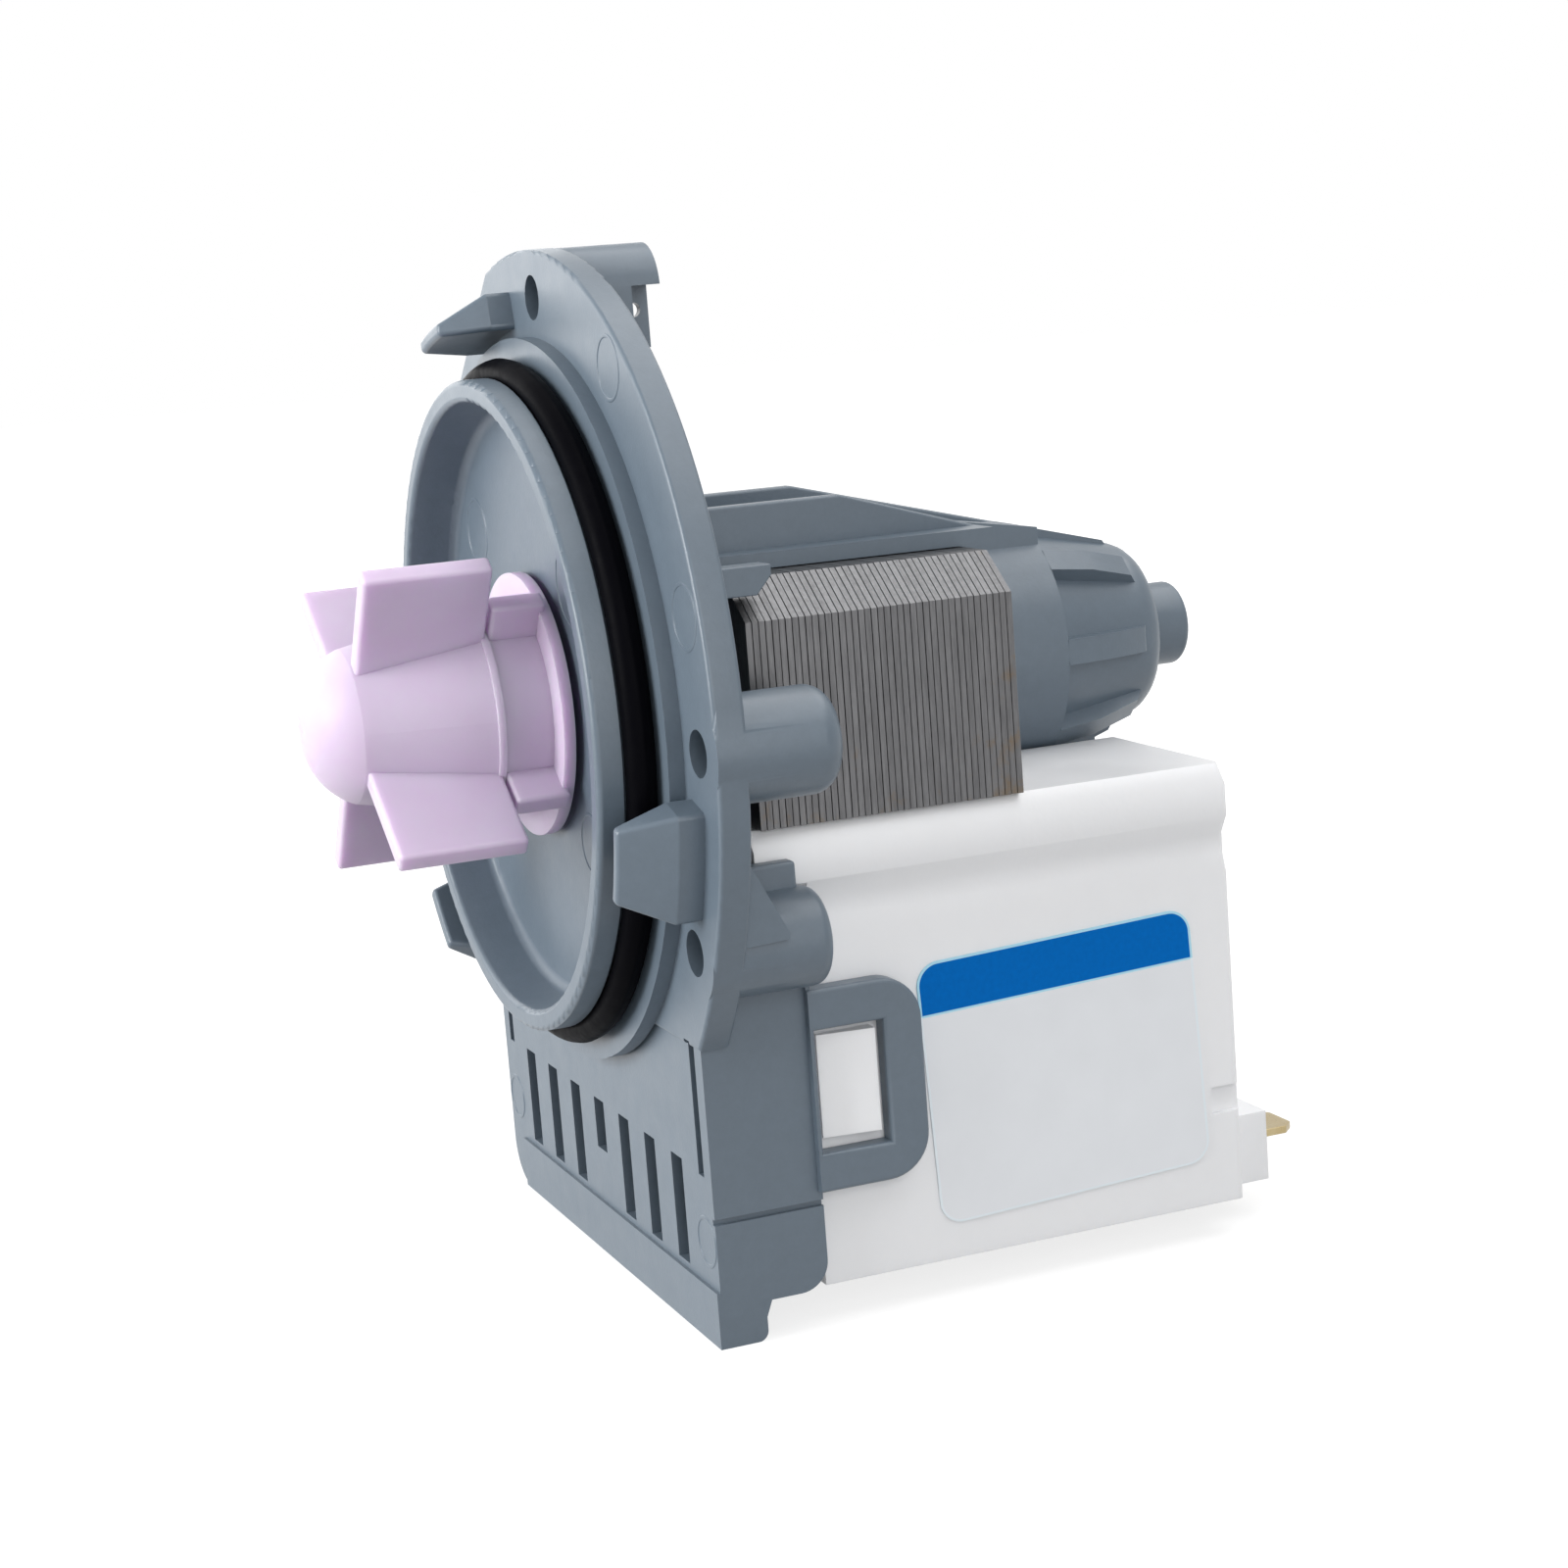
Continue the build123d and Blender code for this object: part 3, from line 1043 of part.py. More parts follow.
def make_drive_dog():
    """The driving dog on the shaft, opposite the dog of the impeller at rest."""
    bore = SHAFT_R + FIXED_GAP
    y0 = DOG_FRONT_Y + DRIVE_DOG_INSET
    y1 = DOG_BACK_Y - DRIVE_DOG_INSET
    opposite = BLADE_ANGLE + TURN / 2
    ring = tube(DRIVE_RING_R, bore, y0, y1)
    dog = sector((bore + DRIVE_RING_R) / 2, DRIVE_DOG_R, y0, y1,
                 opposite - DOG_HALF_ANGLE, opposite + DOG_HALF_ANGLE)
    return ring + dog


def make_coupling_damper():
    """The rubber clip that cushions both sides of the impeller's dog."""
    y0 = DOG_FRONT_Y + DAMPER_INSET
    y1 = DOG_BACK_Y - DAMPER_INSET
    inner_edge = DOG_HALF_ANGLE + DAMPER_GAP_ANGLE
    outer_edge = inner_edge + DAMPER_PAD_ANGLE
    band = sector(DAMPER_INNER_R, DAMPER_BAND_R, y0, y1,
                  BLADE_ANGLE - outer_edge, BLADE_ANGLE + outer_edge)
    low = sector(DAMPER_INNER_R, DAMPER_R, y0, y1,
                 BLADE_ANGLE - outer_edge, BLADE_ANGLE - inner_edge)
    high = sector(DAMPER_INNER_R, DAMPER_R, y0, y1,
                  BLADE_ANGLE + inner_edge, BLADE_ANGLE + outer_edge)
    return band + low + high


def paddle(angle, inner, outer, y0, y1):
    """A flat radial plate on the impeller."""
    plate = block(inner, outer, y0, y1, -BLADE_T / 2, BLADE_T / 2)
    return around(softened(plate, BLADE_ROUND), angle)


def blade_angles():
    """The angles of the impeller's blades."""
    return [BLADE_ANGLE + number * TURN / BLADE_COUNT for number in range(BLADE_COUNT)]


def make_impeller():
    """The domed hub with its four blades and the driven dog inside."""
    dome_r = (HUB_TIP_Y, HUB_DOME_R, HUB_DOME_Y)
    nose = ThreePointArc((0, dome_r[0], 0), (dome_r[1], dome_r[2], 0), (HUB_NOSE_R, HUB_NOSE_Y, 0))
    rest = Polyline(
        (HUB_NOSE_R, HUB_NOSE_Y, 0),
        (HUB_BACK_R, HUB_BACK_Y - BEAD_W, 0),
        (HUB_BACK_R + BEAD_H, HUB_BACK_Y - BEAD_W, 0),
        (HUB_BACK_R + BEAD_H, HUB_BACK_Y, 0),
        (CAVITY_R, HUB_BACK_Y, 0),
        (CAVITY_R, CAVITY_FRONT_Y, 0),
        (SHAFT_R + HUB_GAP, CAVITY_FRONT_Y, 0),
        (SHAFT_R + HUB_GAP, JOURNAL_END_Y, 0),
        (0, JOURNAL_END_Y, 0),
        (0, HUB_TIP_Y, 0),
    )
    hub = revolve(make_face(Curve() + [nose, rest]), Axis.Y, TURN)
    for angle in blade_angles():
        hub += paddle(angle, BLADE_ROOT_R, BLADE_R, BLADE_FRONT_Y, BLADE_BACK_Y)
    overlap = (CAVITY_R + HUB_NOSE_R) / 2
    dog = sector(IMPELLER_DOG_R, overlap, DOG_FRONT_Y, DOG_BACK_Y,
                 BLADE_ANGLE - DOG_HALF_ANGLE, BLADE_ANGLE + DOG_HALF_ANGLE)
    return hub + dog


def make_hub_cover():
    """The rear cover of the hub with its disc and the four blade tails."""
    front = HUB_BACK_Y + HUB_GAP
    disc_y = COVER_BACK_Y - COVER_DISC_T
    bore = SHAFT_R + HUB_GAP
    cover = turned([
        (bore, COVER_PLUG_Y), (COVER_PLUG_R, COVER_PLUG_Y), (COVER_PLUG_R, front),
        (HUB_BACK_R, front), (HUB_BACK_R, disc_y), (COVER_DISC_R, disc_y),
        (COVER_DISC_R, COVER_BACK_Y), (bore, COVER_BACK_Y),
    ])
    for angle in blade_angles():
        cover += paddle(angle, TAIL_ROOT_R, TAIL_R, front, COVER_BACK_Y - COVER_DISC_T / 2)
    return cover


def make_pole_core():
    """The right pole core: the arm beside the rotor can and the leg below it."""
    outline = [
        (0, POLE_TOP_Z), (POLE_HALF - POLE_CHAMFER_RUN, POLE_TOP_Z),
        (POLE_HALF, POLE_TOP_Z - POLE_CHAMFER_DROP),
        (POLE_HALF, POLE_BOTTOM_Z), (LEG_OUTER_X, POLE_BOTTOM_Z), (LEG_OUTER_X, LEG_END_Z),
        (LEG_INNER_X, LEG_END_Z), (LEG_INNER_X, POLE_BOTTOM_Z), (0, POLE_BOTTOM_Z),
    ]
    core = profile_along_y(outline, STACK_START_Y, STACK_END_Y)
    core -= rod(CAN_R + POLE_BORE_GAP, STACK_START_Y - OVERRUN, STACK_END_Y + OVERRUN)
    tip = block(-OVERRUN, POLE_TIP_X, STACK_START_Y - OVERRUN, STACK_END_Y + OVERRUN,
                0, POLE_TOP_Z + OVERRUN)
    return core - tip


def make_yoke_core():
    """The yoke that joins the legs of both pole cores below the coils."""
    return block(-LEG_OUTER_X, LEG_OUTER_X, STACK_START_Y, STACK_END_Y,
                 YOKE_BOTTOM_Z, LEG_END_Z - SEAT_GAP)


def coil_box(inset, z0, z1):
    """A rounded box round the right leg, this far outside the bobbin's inner face."""
    centre_y = (STACK_START_Y + STACK_END_Y) / 2
    width = LEG_OUTER_X - LEG_INNER_X + 2 * BOBBIN_GAP + 2 * inset
    depth = STACK_END_Y - STACK_START_Y + 2 * BOBBIN_GAP + 2 * inset
    sketch = Rectangle(width, depth)
    if inset:
        sketch = RectangleRounded(width, depth, inset)
    return extrude(Pos(LEG_MID_X, centre_y, z0) * sketch, amount=z1 - z0)


def make_coil_bobbin():
    """The right bobbin: a square tube with a flange at each end."""
    bobbin = coil_box(BOBBIN_WALL, BOBBIN_BOTTOM_Z, BOBBIN_TOP_Z)
    bobbin += coil_box(BOBBIN_REACH, BOBBIN_TOP_Z - BOBBIN_FLANGE_T, BOBBIN_TOP_Z)
    bobbin += coil_box(BOBBIN_REACH, BOBBIN_BOTTOM_Z, BOBBIN_BOTTOM_Z + BOBBIN_FLANGE_T)
    return bobbin - coil_box(0, BOBBIN_BOTTOM_Z - OVERRUN, BOBBIN_TOP_Z + OVERRUN)


def make_winding():
    """The copper winding on the right bobbin."""
    z0 = BOBBIN_BOTTOM_Z + BOBBIN_FLANGE_T
    z1 = BOBBIN_TOP_Z - BOBBIN_FLANGE_T
    return coil_box(BOBBIN_WALL + WINDING_T, z0, z1) - coil_box(BOBBIN_WALL, z0, z1)


def wire(points, radius, bend):
    """A round wire of straight runs joined by arcs."""
    path = FilletPolyline(*points, radius=bend)
    first = Vector(*points[0])
    heading = Vector(*points[1]) - first
    section = Plane(origin=first, z_dir=heading) * Circle(radius)
    return sweep(section, path)


def make_link_wire():
    """The lead that joins the two windings behind the coils."""
    y = BOBBIN_REAR_Y + LINK_R + LEAD_GAP
    points = [(-LINK_HALF, y, LINK_END_Z), (-LINK_HALF, y, LINK_TOP_Z),
              (LINK_HALF, y, LINK_TOP_Z), (LINK_HALF, y, LINK_END_Z)]
    return wire(points, LINK_R, LINK_BEND_R)


def make_coil_lead():
    """The lead from the right winding to the right terminal."""
    y = BOBBIN_REAR_Y + LEAD_R + LEAD_GAP
    z = TERMINAL_Z + TERMINAL_T / 2 + LEAD_R + LEAD_GAP
    points = [(TERMINAL_X, y, LEAD_TOP_Z), (TERMINAL_X, y, z), (TERMINAL_X, LEAD_END_Y, z)]
    return wire(points, LEAD_R, LEAD_BEND_R)


def make_thermal_cutout():
    """The thermal switch on the rear of the right winding."""
    x = LEG_MID_X - CUTOUT_SHIFT
    y = WINDING_REAR_Y + SEAT_GAP
    return block(x - CUTOUT_W / 2, x + CUTOUT_W / 2, y, y + CUTOUT_T,
                 CUTOUT_BOTTOM_Z, CUTOUT_BOTTOM_Z + CUTOUT_H)


def make_terminal():
    """The right blade terminal, with a chamfered tip."""
    half = TERMINAL_W / 2
    tip = half - TERMINAL_TIP
    outline = [
        (TERMINAL_X - half, TERMINAL_START_Y), (TERMINAL_X + half, TERMINAL_START_Y),
        (TERMINAL_X + half, TERMINAL_END_Y - TERMINAL_TIP), (TERMINAL_X + tip, TERMINAL_END_Y),
        (TERMINAL_X - tip, TERMINAL_END_Y), (TERMINAL_X - half, TERMINAL_END_Y - TERMINAL_TIP),
    ]
    return profile_along_z(outline, TERMINAL_Z - TERMINAL_T / 2, TERMINAL_Z + TERMINAL_T / 2)


def housing_outline():
    """The outline of the coil housing seen along Y, right half, from top to bottom."""
    return [
        (0, HOUSING_TOP_Z), (TOP_RIM_HALF - TOP_EDGE_RUN, HOUSING_TOP_Z),
        (TOP_RIM_HALF, HOUSING_TOP_Z - TOP_EDGE_DROP), (TOP_RIM_HALF, TOP_RIM_BOTTOM_Z),
        (COVE_HALF, COVE_START_Z), (COVE_HALF, COVE_END_Z), (HOUSING_HALF, SIDE_START_Z),
        (HOUSING_HALF, HOUSING_BOTTOM_Z), (0, HOUSING_BOTTOM_Z),
    ]


def housing_shell():
    """The outside of the right half of the coil housing."""
    shell = profile_along_y(housing_outline(), HOUSING_START_Y, HOUSING_END_Y)
    outer = shell.edges().filter_by_position(Axis.X, COVE_HALF - SEAT_GAP, TOP_RIM_HALF + SEAT_GAP)
    shell = fillet(outer & edges_at_y(shell, HOUSING_END_Y), HOUSING_ROUND)
    front = block(-OVERRUN, TOP_RIM_HALF + OVERRUN, HOUSING_START_Y - OVERRUN,
                  BRACKET_END_Y + SEAT_GAP, HOUSING_BOTTOM_Z - OVERRUN, BRACKET_TOP_Z + SEAT_GAP)
    shell -= front
    shell += block(0, SKIRT_HALF, SKIRT_START_Y, HOUSING_END_Y - HOUSING_WALL,
                   SKIRT_BOTTOM_Z, SKIRT_TOP_Z)
    catch = profile_along_z([
        (HOUSING_HALF - OVERRUN, CATCH_START_Y), (CATCH_LOW_X, CATCH_START_Y),
        (CATCH_HIGH_X, CATCH_END_Y), (HOUSING_HALF - OVERRUN, CATCH_END_Y),
    ], CATCH_BOTTOM_Z, CATCH_TOP_Z)
    notch = block(HOUSING_HALF - NOTCH_DEPTH, TOP_RIM_HALF + OVERRUN, NOTCH_START_Y,
                  HOUSING_END_Y + OVERRUN, NOTCH_BOTTOM_Z, NOTCH_TOP_Z)
    connector = block(0, BLOCK_HALF, HOUSING_END_Y - OVERRUN, BLOCK_END_Y,
                      HOUSING_BOTTOM_Z, BLOCK_TOP_Z)
    half_w = TERMINAL_W / 2 + POCKET_MARGIN
    half_h = TERMINAL_T / 2 + POCKET_RISE
    socket = block(TERMINAL_X - half_w, TERMINAL_X + half_w, BLOCK_END_Y - POCKET_DEPTH,
                   BLOCK_END_Y + OVERRUN, TERMINAL_Z - half_h, TERMINAL_Z + half_h)
    return shell + catch - notch + connector - socket


def housing_room():
    """The room inside the right half of the coil housing."""
    room = block(-OVERRUN, ROOM_HALF, SKIRT_START_Y - OVERRUN, REAR_WALL_Y, SKIRT_FLOOR_Z, CEILING_Z)
    room += block(-OVERRUN, ROOM_HALF, BRACKET_END_Y + HOUSING_WALL, REAR_WALL_Y,
                  CAVITY_BOTTOM_Z, CEILING_Z)
    leg = block(LEG_INNER_X - BOBBIN_GAP, LEG_OUTER_X + BOBBIN_GAP, STACK_START_Y - BOBBIN_GAP,
                STACK_END_Y + BOBBIN_GAP, CEILING_Z - OVERRUN, HOUSING_TOP_Z + OVERRUN)
    half_slot = TERMINAL_W / 2 + TERMINAL_GAP
    slot_h = TERMINAL_T / 2 + TERMINAL_GAP
    slot = block(TERMINAL_X - half_slot, TERMINAL_X + half_slot, TERMINAL_START_Y - OVERRUN,
                 BLOCK_END_Y, TERMINAL_Z - slot_h, TERMINAL_Z + slot_h)
    boss_x, boss_z = screw_place(LOWER_BOSS_ANGLES[0])
    boss = rod(LOWER_BOSS_R + POLE_BORE_GAP, 0, LOWER_BOSS_END_Y + POLE_BORE_GAP, boss_x, boss_z)
    return room + leg + slot + boss


def make_coil_housing():
    """The white housing of the coils, open at the front, with its connector block."""
    right = housing_shell() - housing_room()
    housing = right + mirrored(right)
    housing -= rod(CAN_R + SADDLE_GAP, 0, HOUSING_END_Y + OVERRUN)
    stop_room = rod(STOP_R + SADDLE_GAP, 0, STOP_L + SADDLE_GAP)
    return housing - stop_room


def make_rating_label():
    """The blank label on the right side of the coil housing."""
    x = HOUSING_HALF + LABEL_GAP
    half_w = (LABEL_END_Y - LABEL_START_Y) / 2
    half_h = (LABEL_TOP_Z - LABEL_BOTTOM_Z) / 2
    label = rounded_panel(-half_w, half_w, -half_h, half_h, x, x + LABEL_T, LABEL_R)
    return Pos(0, LABEL_START_Y + half_w, LABEL_BOTTOM_Z + half_h) * label.rotate(Axis.X, LABEL_TILT)


def build_parts():
    """Every piece of the pump under its own name."""
    pole = make_pole_core()
    bobbin = make_coil_bobbin()
    winding = make_winding()
    terminal = make_terminal()
    lead = make_coil_lead()
    return {
        "front_body": make_front_body(),
        "o_ring": make_o_ring(),
        "bearing_holder": make_bearing_holder(),
        "shaft_seal": make_shaft_seal(),
        "front_bearing": make_bearing(FRONT_BEARING_START_Y),
        "front_bearing_cushion": make_cushion(FRONT_BEARING_START_Y),
        "rear_bearing": make_bearing(REAR_BEARING_START_Y),
        "rear_bearing_cushion": make_cushion(REAR_BEARING_START_Y),
        "front_thrust_washer": make_thrust_washer(FRONT_WASHER_START_Y),
        "rear_thrust_washer": make_thrust_washer(SLEEVE_END_Y + WASHER_GAP),
        "shaft": make_shaft(),
        "rotor_magnet": make_rotor_magnet(),
        "rotor_sleeve": make_rotor_sleeve(),
        "drive_dog": make_drive_dog(),
        "coupling_damper": make_coupling_damper(),
        "impeller": make_impeller(),
        "hub_cover": make_hub_cover(),
        "pole_core_right": pole,
        "pole_core_left": mirrored(pole),
        "yoke_core": make_yoke_core(),
        "coil_bobbin_right": bobbin,
        "coil_bobbin_left": mirrored(bobbin),
        "winding_right": winding,
        "winding_left": mirrored(winding),
        "coil_housing": make_coil_housing(),
        "terminal_right": terminal,
        "terminal_left": mirrored(terminal),
        "coil_lead_right": lead,
        "coil_lead_left": mirrored(lead),
        "coil_link_wire": make_link_wire(),
        "thermal_cutout": make_thermal_cutout(),
        "rating_label": make_rating_label(),
    }


os.makedirs("parts", exist_ok=True)
for name, piece in build_parts().items():
    export_step(piece, "parts/" + name + ".step")
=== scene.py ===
"""Looks of a washing machine's drain pump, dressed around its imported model.

Lengths that are named in millimetres are turned into the scene's metres by MM.
The pump axis is Y, the impeller looks toward -Y and +Z is up.
"""

import logging
import math
from dataclasses import dataclass
from enum import Enum
from typing import Callable, ClassVar, Sequence

import bmesh
import bpy
from mathutils import Matrix, Vector


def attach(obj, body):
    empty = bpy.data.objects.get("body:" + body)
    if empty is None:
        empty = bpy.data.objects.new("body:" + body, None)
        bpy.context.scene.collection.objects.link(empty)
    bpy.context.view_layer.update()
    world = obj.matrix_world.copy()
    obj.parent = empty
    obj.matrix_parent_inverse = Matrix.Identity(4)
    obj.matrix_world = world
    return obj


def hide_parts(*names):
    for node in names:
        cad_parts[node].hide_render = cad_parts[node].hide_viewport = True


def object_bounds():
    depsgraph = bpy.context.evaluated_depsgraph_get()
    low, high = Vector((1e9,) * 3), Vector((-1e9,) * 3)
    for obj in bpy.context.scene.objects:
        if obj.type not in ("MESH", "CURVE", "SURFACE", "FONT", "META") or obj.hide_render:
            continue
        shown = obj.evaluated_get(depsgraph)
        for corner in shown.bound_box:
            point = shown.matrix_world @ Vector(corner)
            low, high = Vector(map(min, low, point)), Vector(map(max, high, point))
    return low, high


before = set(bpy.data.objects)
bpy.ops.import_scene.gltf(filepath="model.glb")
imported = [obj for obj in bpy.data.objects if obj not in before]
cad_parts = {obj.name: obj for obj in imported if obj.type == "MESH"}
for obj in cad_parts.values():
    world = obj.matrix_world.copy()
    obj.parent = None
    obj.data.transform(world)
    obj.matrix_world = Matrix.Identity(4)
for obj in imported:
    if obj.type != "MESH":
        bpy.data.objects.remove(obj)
CAD_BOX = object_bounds()

MM = 0.001
HOUSING = "housing"
IMPELLER_UNIT = "impeller_unit"
WHITE = (1.0, 1.0, 1.0, 1.0)

# A noise texture's values lie mostly between these two.
NOISE_LOW = 0.3
NOISE_HIGH = 0.7

# Corners nearer than this, in millimetres, become one, and faces flatter than this become one face.
WELD = 0.002
FLAT_DEGREES = 0.2

log = logging.getLogger("pump")

Colour = tuple[float, float, float]
Socket = bpy.types.NodeSocket
Piece = bpy.types.Object


class Axis(Enum):
    """An axis of the scene, with its index in a vector."""

    X = 0
    Y = 1
    Z = 2


class Shader:
    """A material's node tree, wired by short calls around one Principled shader."""

    def __init__(self, name: str) -> None:
        """Starts a material with an output, a Principled shader and Object coordinates.

        Args:
            name: The material's name.
        """
        self.material = bpy.data.materials.new(name)
        self.material.use_nodes = True
        self.tree = self.material.node_tree
        self.tree.nodes.clear()
        self.output = self.tree.nodes.new("ShaderNodeOutputMaterial")
        self.surface = self.tree.nodes.new("ShaderNodeBsdfPrincipled")
        self.join(self.surface.outputs["BSDF"], self.output.inputs["Surface"])
        self.place = self.tree.nodes.new("ShaderNodeTexCoord").outputs["Object"]

    def join(self, source: Socket, target: Socket) -> None:
        """Links two sockets."""
        self.tree.links.new(source, target)

    def feed(self, target: Socket, value: "Socket | float | Sequence[float]") -> None:
        """Gives a socket a link or a constant.

        Args:
            target: The input socket.
            value: An output socket to link, or the constant to set.
        """
        if isinstance(value, bpy.types.NodeSocket):
            self.join(value, target)
        elif isinstance(value, (int, float)):
            target.default_value = value
        else:
            target.default_value = tuple(value) + (1.0,) * (len(target.default_value) - len(value))

    def set(self, **values: "float | Sequence[float]") -> None:
        """Sets constants on the Principled shader, with _ for each space in a name."""
        for name, value in values.items():
            self.feed(self.surface.inputs[name.replace("_", " ")], value)

    def math(self, operation: str, first: "Socket | float", second: "Socket | float" = 0.0) -> Socket:
        """Adds a Math node.

        Args:
            operation: The node's operation.
            first: Its first input.
            second: Its second input.

        Returns:
            The result's socket.
        """
        node = self.tree.nodes.new("ShaderNodeMath")
        node.operation = operation
        for socket, value in zip(node.inputs, (first, second)):
            self.feed(socket, value)
        return node.outputs[0]

    def mix(self, factor: "Socket | float", first: "Socket | Colour", second: "Socket | Colour",
            blend: str = "MIX") -> Socket:
        """Mixes two colours.

        Args:
            factor: The share of the second colour.
            first: The first colour.
            second: The second colour.
            blend: The Mix node's blend type.

        Returns:
            The mixed colour's socket.
        """
        node = self.tree.nodes.new("ShaderNodeMix")
        node.data_type = "RGBA"
        node.blend_type = blend
        self.feed(node.inputs["Factor"], factor)
        self.feed(node.inputs[6], first)
        self.feed(node.inputs[7], second)
        return node.outputs[2]

    def noise(self, size: float, detail: float = 2.0, roughness: float = 0.5,
              place: "Socket | None" = None) -> Socket:
        """Adds a Noise texture.

        Args:
            size: The size of its spots in millimetres.
            detail: How many finer layers it has.
            roughness: How strong the finer layers are.
            place: The coordinates, Object coordinates if left out.

        Returns:
            The noise's factor socket.
        """
        node = self.tree.nodes.new("ShaderNodeTexNoise")
        self.join(place or self.place, node.inputs["Vector"])
        self.feed(node.inputs["Scale"], 1.0 / (size * MM))
        self.feed(node.inputs["Detail"], detail)
        self.feed(node.inputs["Roughness"], roughness)
        return node.outputs[0]

    def between(self, value: Socket, low: float, high: float, start: float = 0.0,
                end: float = 1.0) -> Socket:
        """Maps a value from one range to another, held inside it.

        Args:
            value: The socket to map.
            low: The value that gives start.
            high: The value that gives end.
            start: The result at low.
            end: The result at high.

        Returns:
            The mapped value's socket.
        """
        node = self.tree.nodes.new("ShaderNodeMapRange")
        for number, amount in enumerate((value, low, high, start, end)):
            self.feed(node.inputs[number], amount)
        return node.outputs[0]

    def spots(self, size: float, detail: float = 2.0, roughness: float = 0.5,
              start: float = 0.0, end: float = 1.0) -> Socket:
        """Adds a Noise texture and spreads its middle values over a range.

        Args:
            size: The size of its spots in millimetres.
            detail: How many finer layers it has.
            roughness: How strong the finer layers are.
            start: The result at its low values.
            end: The result at its high values.

        Returns:
            The result's socket.
        """
        return self.between(self.noise(size, detail, roughness), NOISE_LOW, NOISE_HIGH, start, end)

    def stretched(self, scale: Sequence[float], turn: Sequence[float] = (0.0, 0.0, 0.0),
                  centre: Sequence[float] = (0.0, 0.0, 0.0)) -> Socket:
        """Counts Object coordinates from a centre, in turned and stretched axes.

        Args:
            scale: How much longer a pattern gets along each axis.
            turn: The axes' turn in degrees.
            centre: The new origin in millimetres.

        Returns:
            The coordinates' socket.
        """
        node = self.tree.nodes.new("ShaderNodeMapping")
        node.vector_type = "TEXTURE"
        self.join(self.place, node.inputs["Vector"])
        self.feed(node.inputs["Location"], [amount * MM for amount in centre])
        self.feed(node.inputs["Rotation"], [math.radians(amount) for amount in turn])
        self.feed(node.inputs["Scale"], list(scale))
        return node.outputs[0]

    def parts_of(self, vector: Socket) -> list[Socket]:
        """Splits a vector.

        Args:
            vector: The vector's socket.

        Returns:
            Its x, y and z sockets.
        """
        node = self.tree.nodes.new("ShaderNodeSeparateXYZ")
        self.join(vector, node.inputs[0])
        return list(node.outputs)

    def bump(self, height: Socket, depth: float, under: "Socket | None" = None) -> Socket:
        """Adds relief to the surface.

        Args:
            height: The relief, from 0 to 1.
            depth: Its depth in millimetres.
            under: The normal that it is laid over.

        Returns:
            The new normal's socket, which the shader also takes.
        """
        node = self.tree.nodes.new("ShaderNodeBump")
        self.feed(node.inputs["Strength"], 1.0)
        self.feed(node.inputs["Distance"], depth * MM)
        self.join(height, node.inputs["Height"])
        if under is not None:
            self.join(under, node.inputs["Normal"])
        self.join(node.outputs["Normal"], self.surface.inputs["Normal"])
        return node.outputs["Normal"]

    def colour(self, value: Socket) -> None:
        """Gives the shader its colour."""
        self.join(value, self.surface.inputs["Base Color"])

    def roughness(self, value: Socket) -> None:
        """Gives the shader its roughness."""
        self.join(value, self.surface.inputs["Roughness"])


@dataclass(frozen=True)
class MouldedPlastic:
    """An opaque moulded plastic: clouded colour, fine grain and a soft gloss."""

    name: str
    colour: Colour
    clouded: Colour
    roughness: float = 0.36
    roughness_spread: float = 0.1
    cloud: float = 14.0
    cloud_detail: float = 4.0
    cloud_roughness: float = 0.6
    speck: float = 1.1
    speck_detail: float = 3.0
    speck_roughness: float = 0.65
    speck_low: float = 0.25
    speck_high: float = 0.8
    patch_times: float = 3.0
    grain: float = 0.32
    grain_depth: float = 0.012
    sink: float = 9.0
    sink_detail: float = 1.0
    sink_depth: float = 0.03
    fleck: float = 0.05
    ior: float = 1.5
    depth_of_light: float = 0.0
    light_colour: Colour = (1.0, 0.95, 0.9)
    light_reach: float = 1.2

    def make(self) -> bpy.types.Material:
        """Wires the material.

        Returns:
            The material.
        """
        shader = Shader(self.name)
        clouds = shader.spots(self.cloud, self.cloud_detail, self.cloud_roughness)
        base = shader.mix(clouds, self.colour, self.clouded)
        noise = shader.noise(self.speck, self.speck_detail, self.speck_roughness)
        specks = shader.between(noise, self.speck_low, self.speck_high)
        tinted = shader.mix(specks, (1.0 - self.fleck,) * 3, (1.0 + self.fleck,) * 3)
        shader.colour(shader.mix(1.0, base, tinted, "MULTIPLY"))
        shader.roughness(shader.spots(self.speck * self.patch_times, self.speck_detail,
                                      start=self.roughness, end=self.roughness + self.roughness_spread))
        sunk = shader.bump(shader.noise(self.sink, self.sink_detail), self.sink_depth)
        shader.bump(shader.noise(self.grain), self.grain_depth, sunk)
        shader.set(IOR=self.ior)
        if self.depth_of_light:
            shader.set(Subsurface_Weight=self.depth_of_light, Subsurface_Radius=self.light_colour,
                       Subsurface_Scale=self.light_reach * MM)
        return shader.material


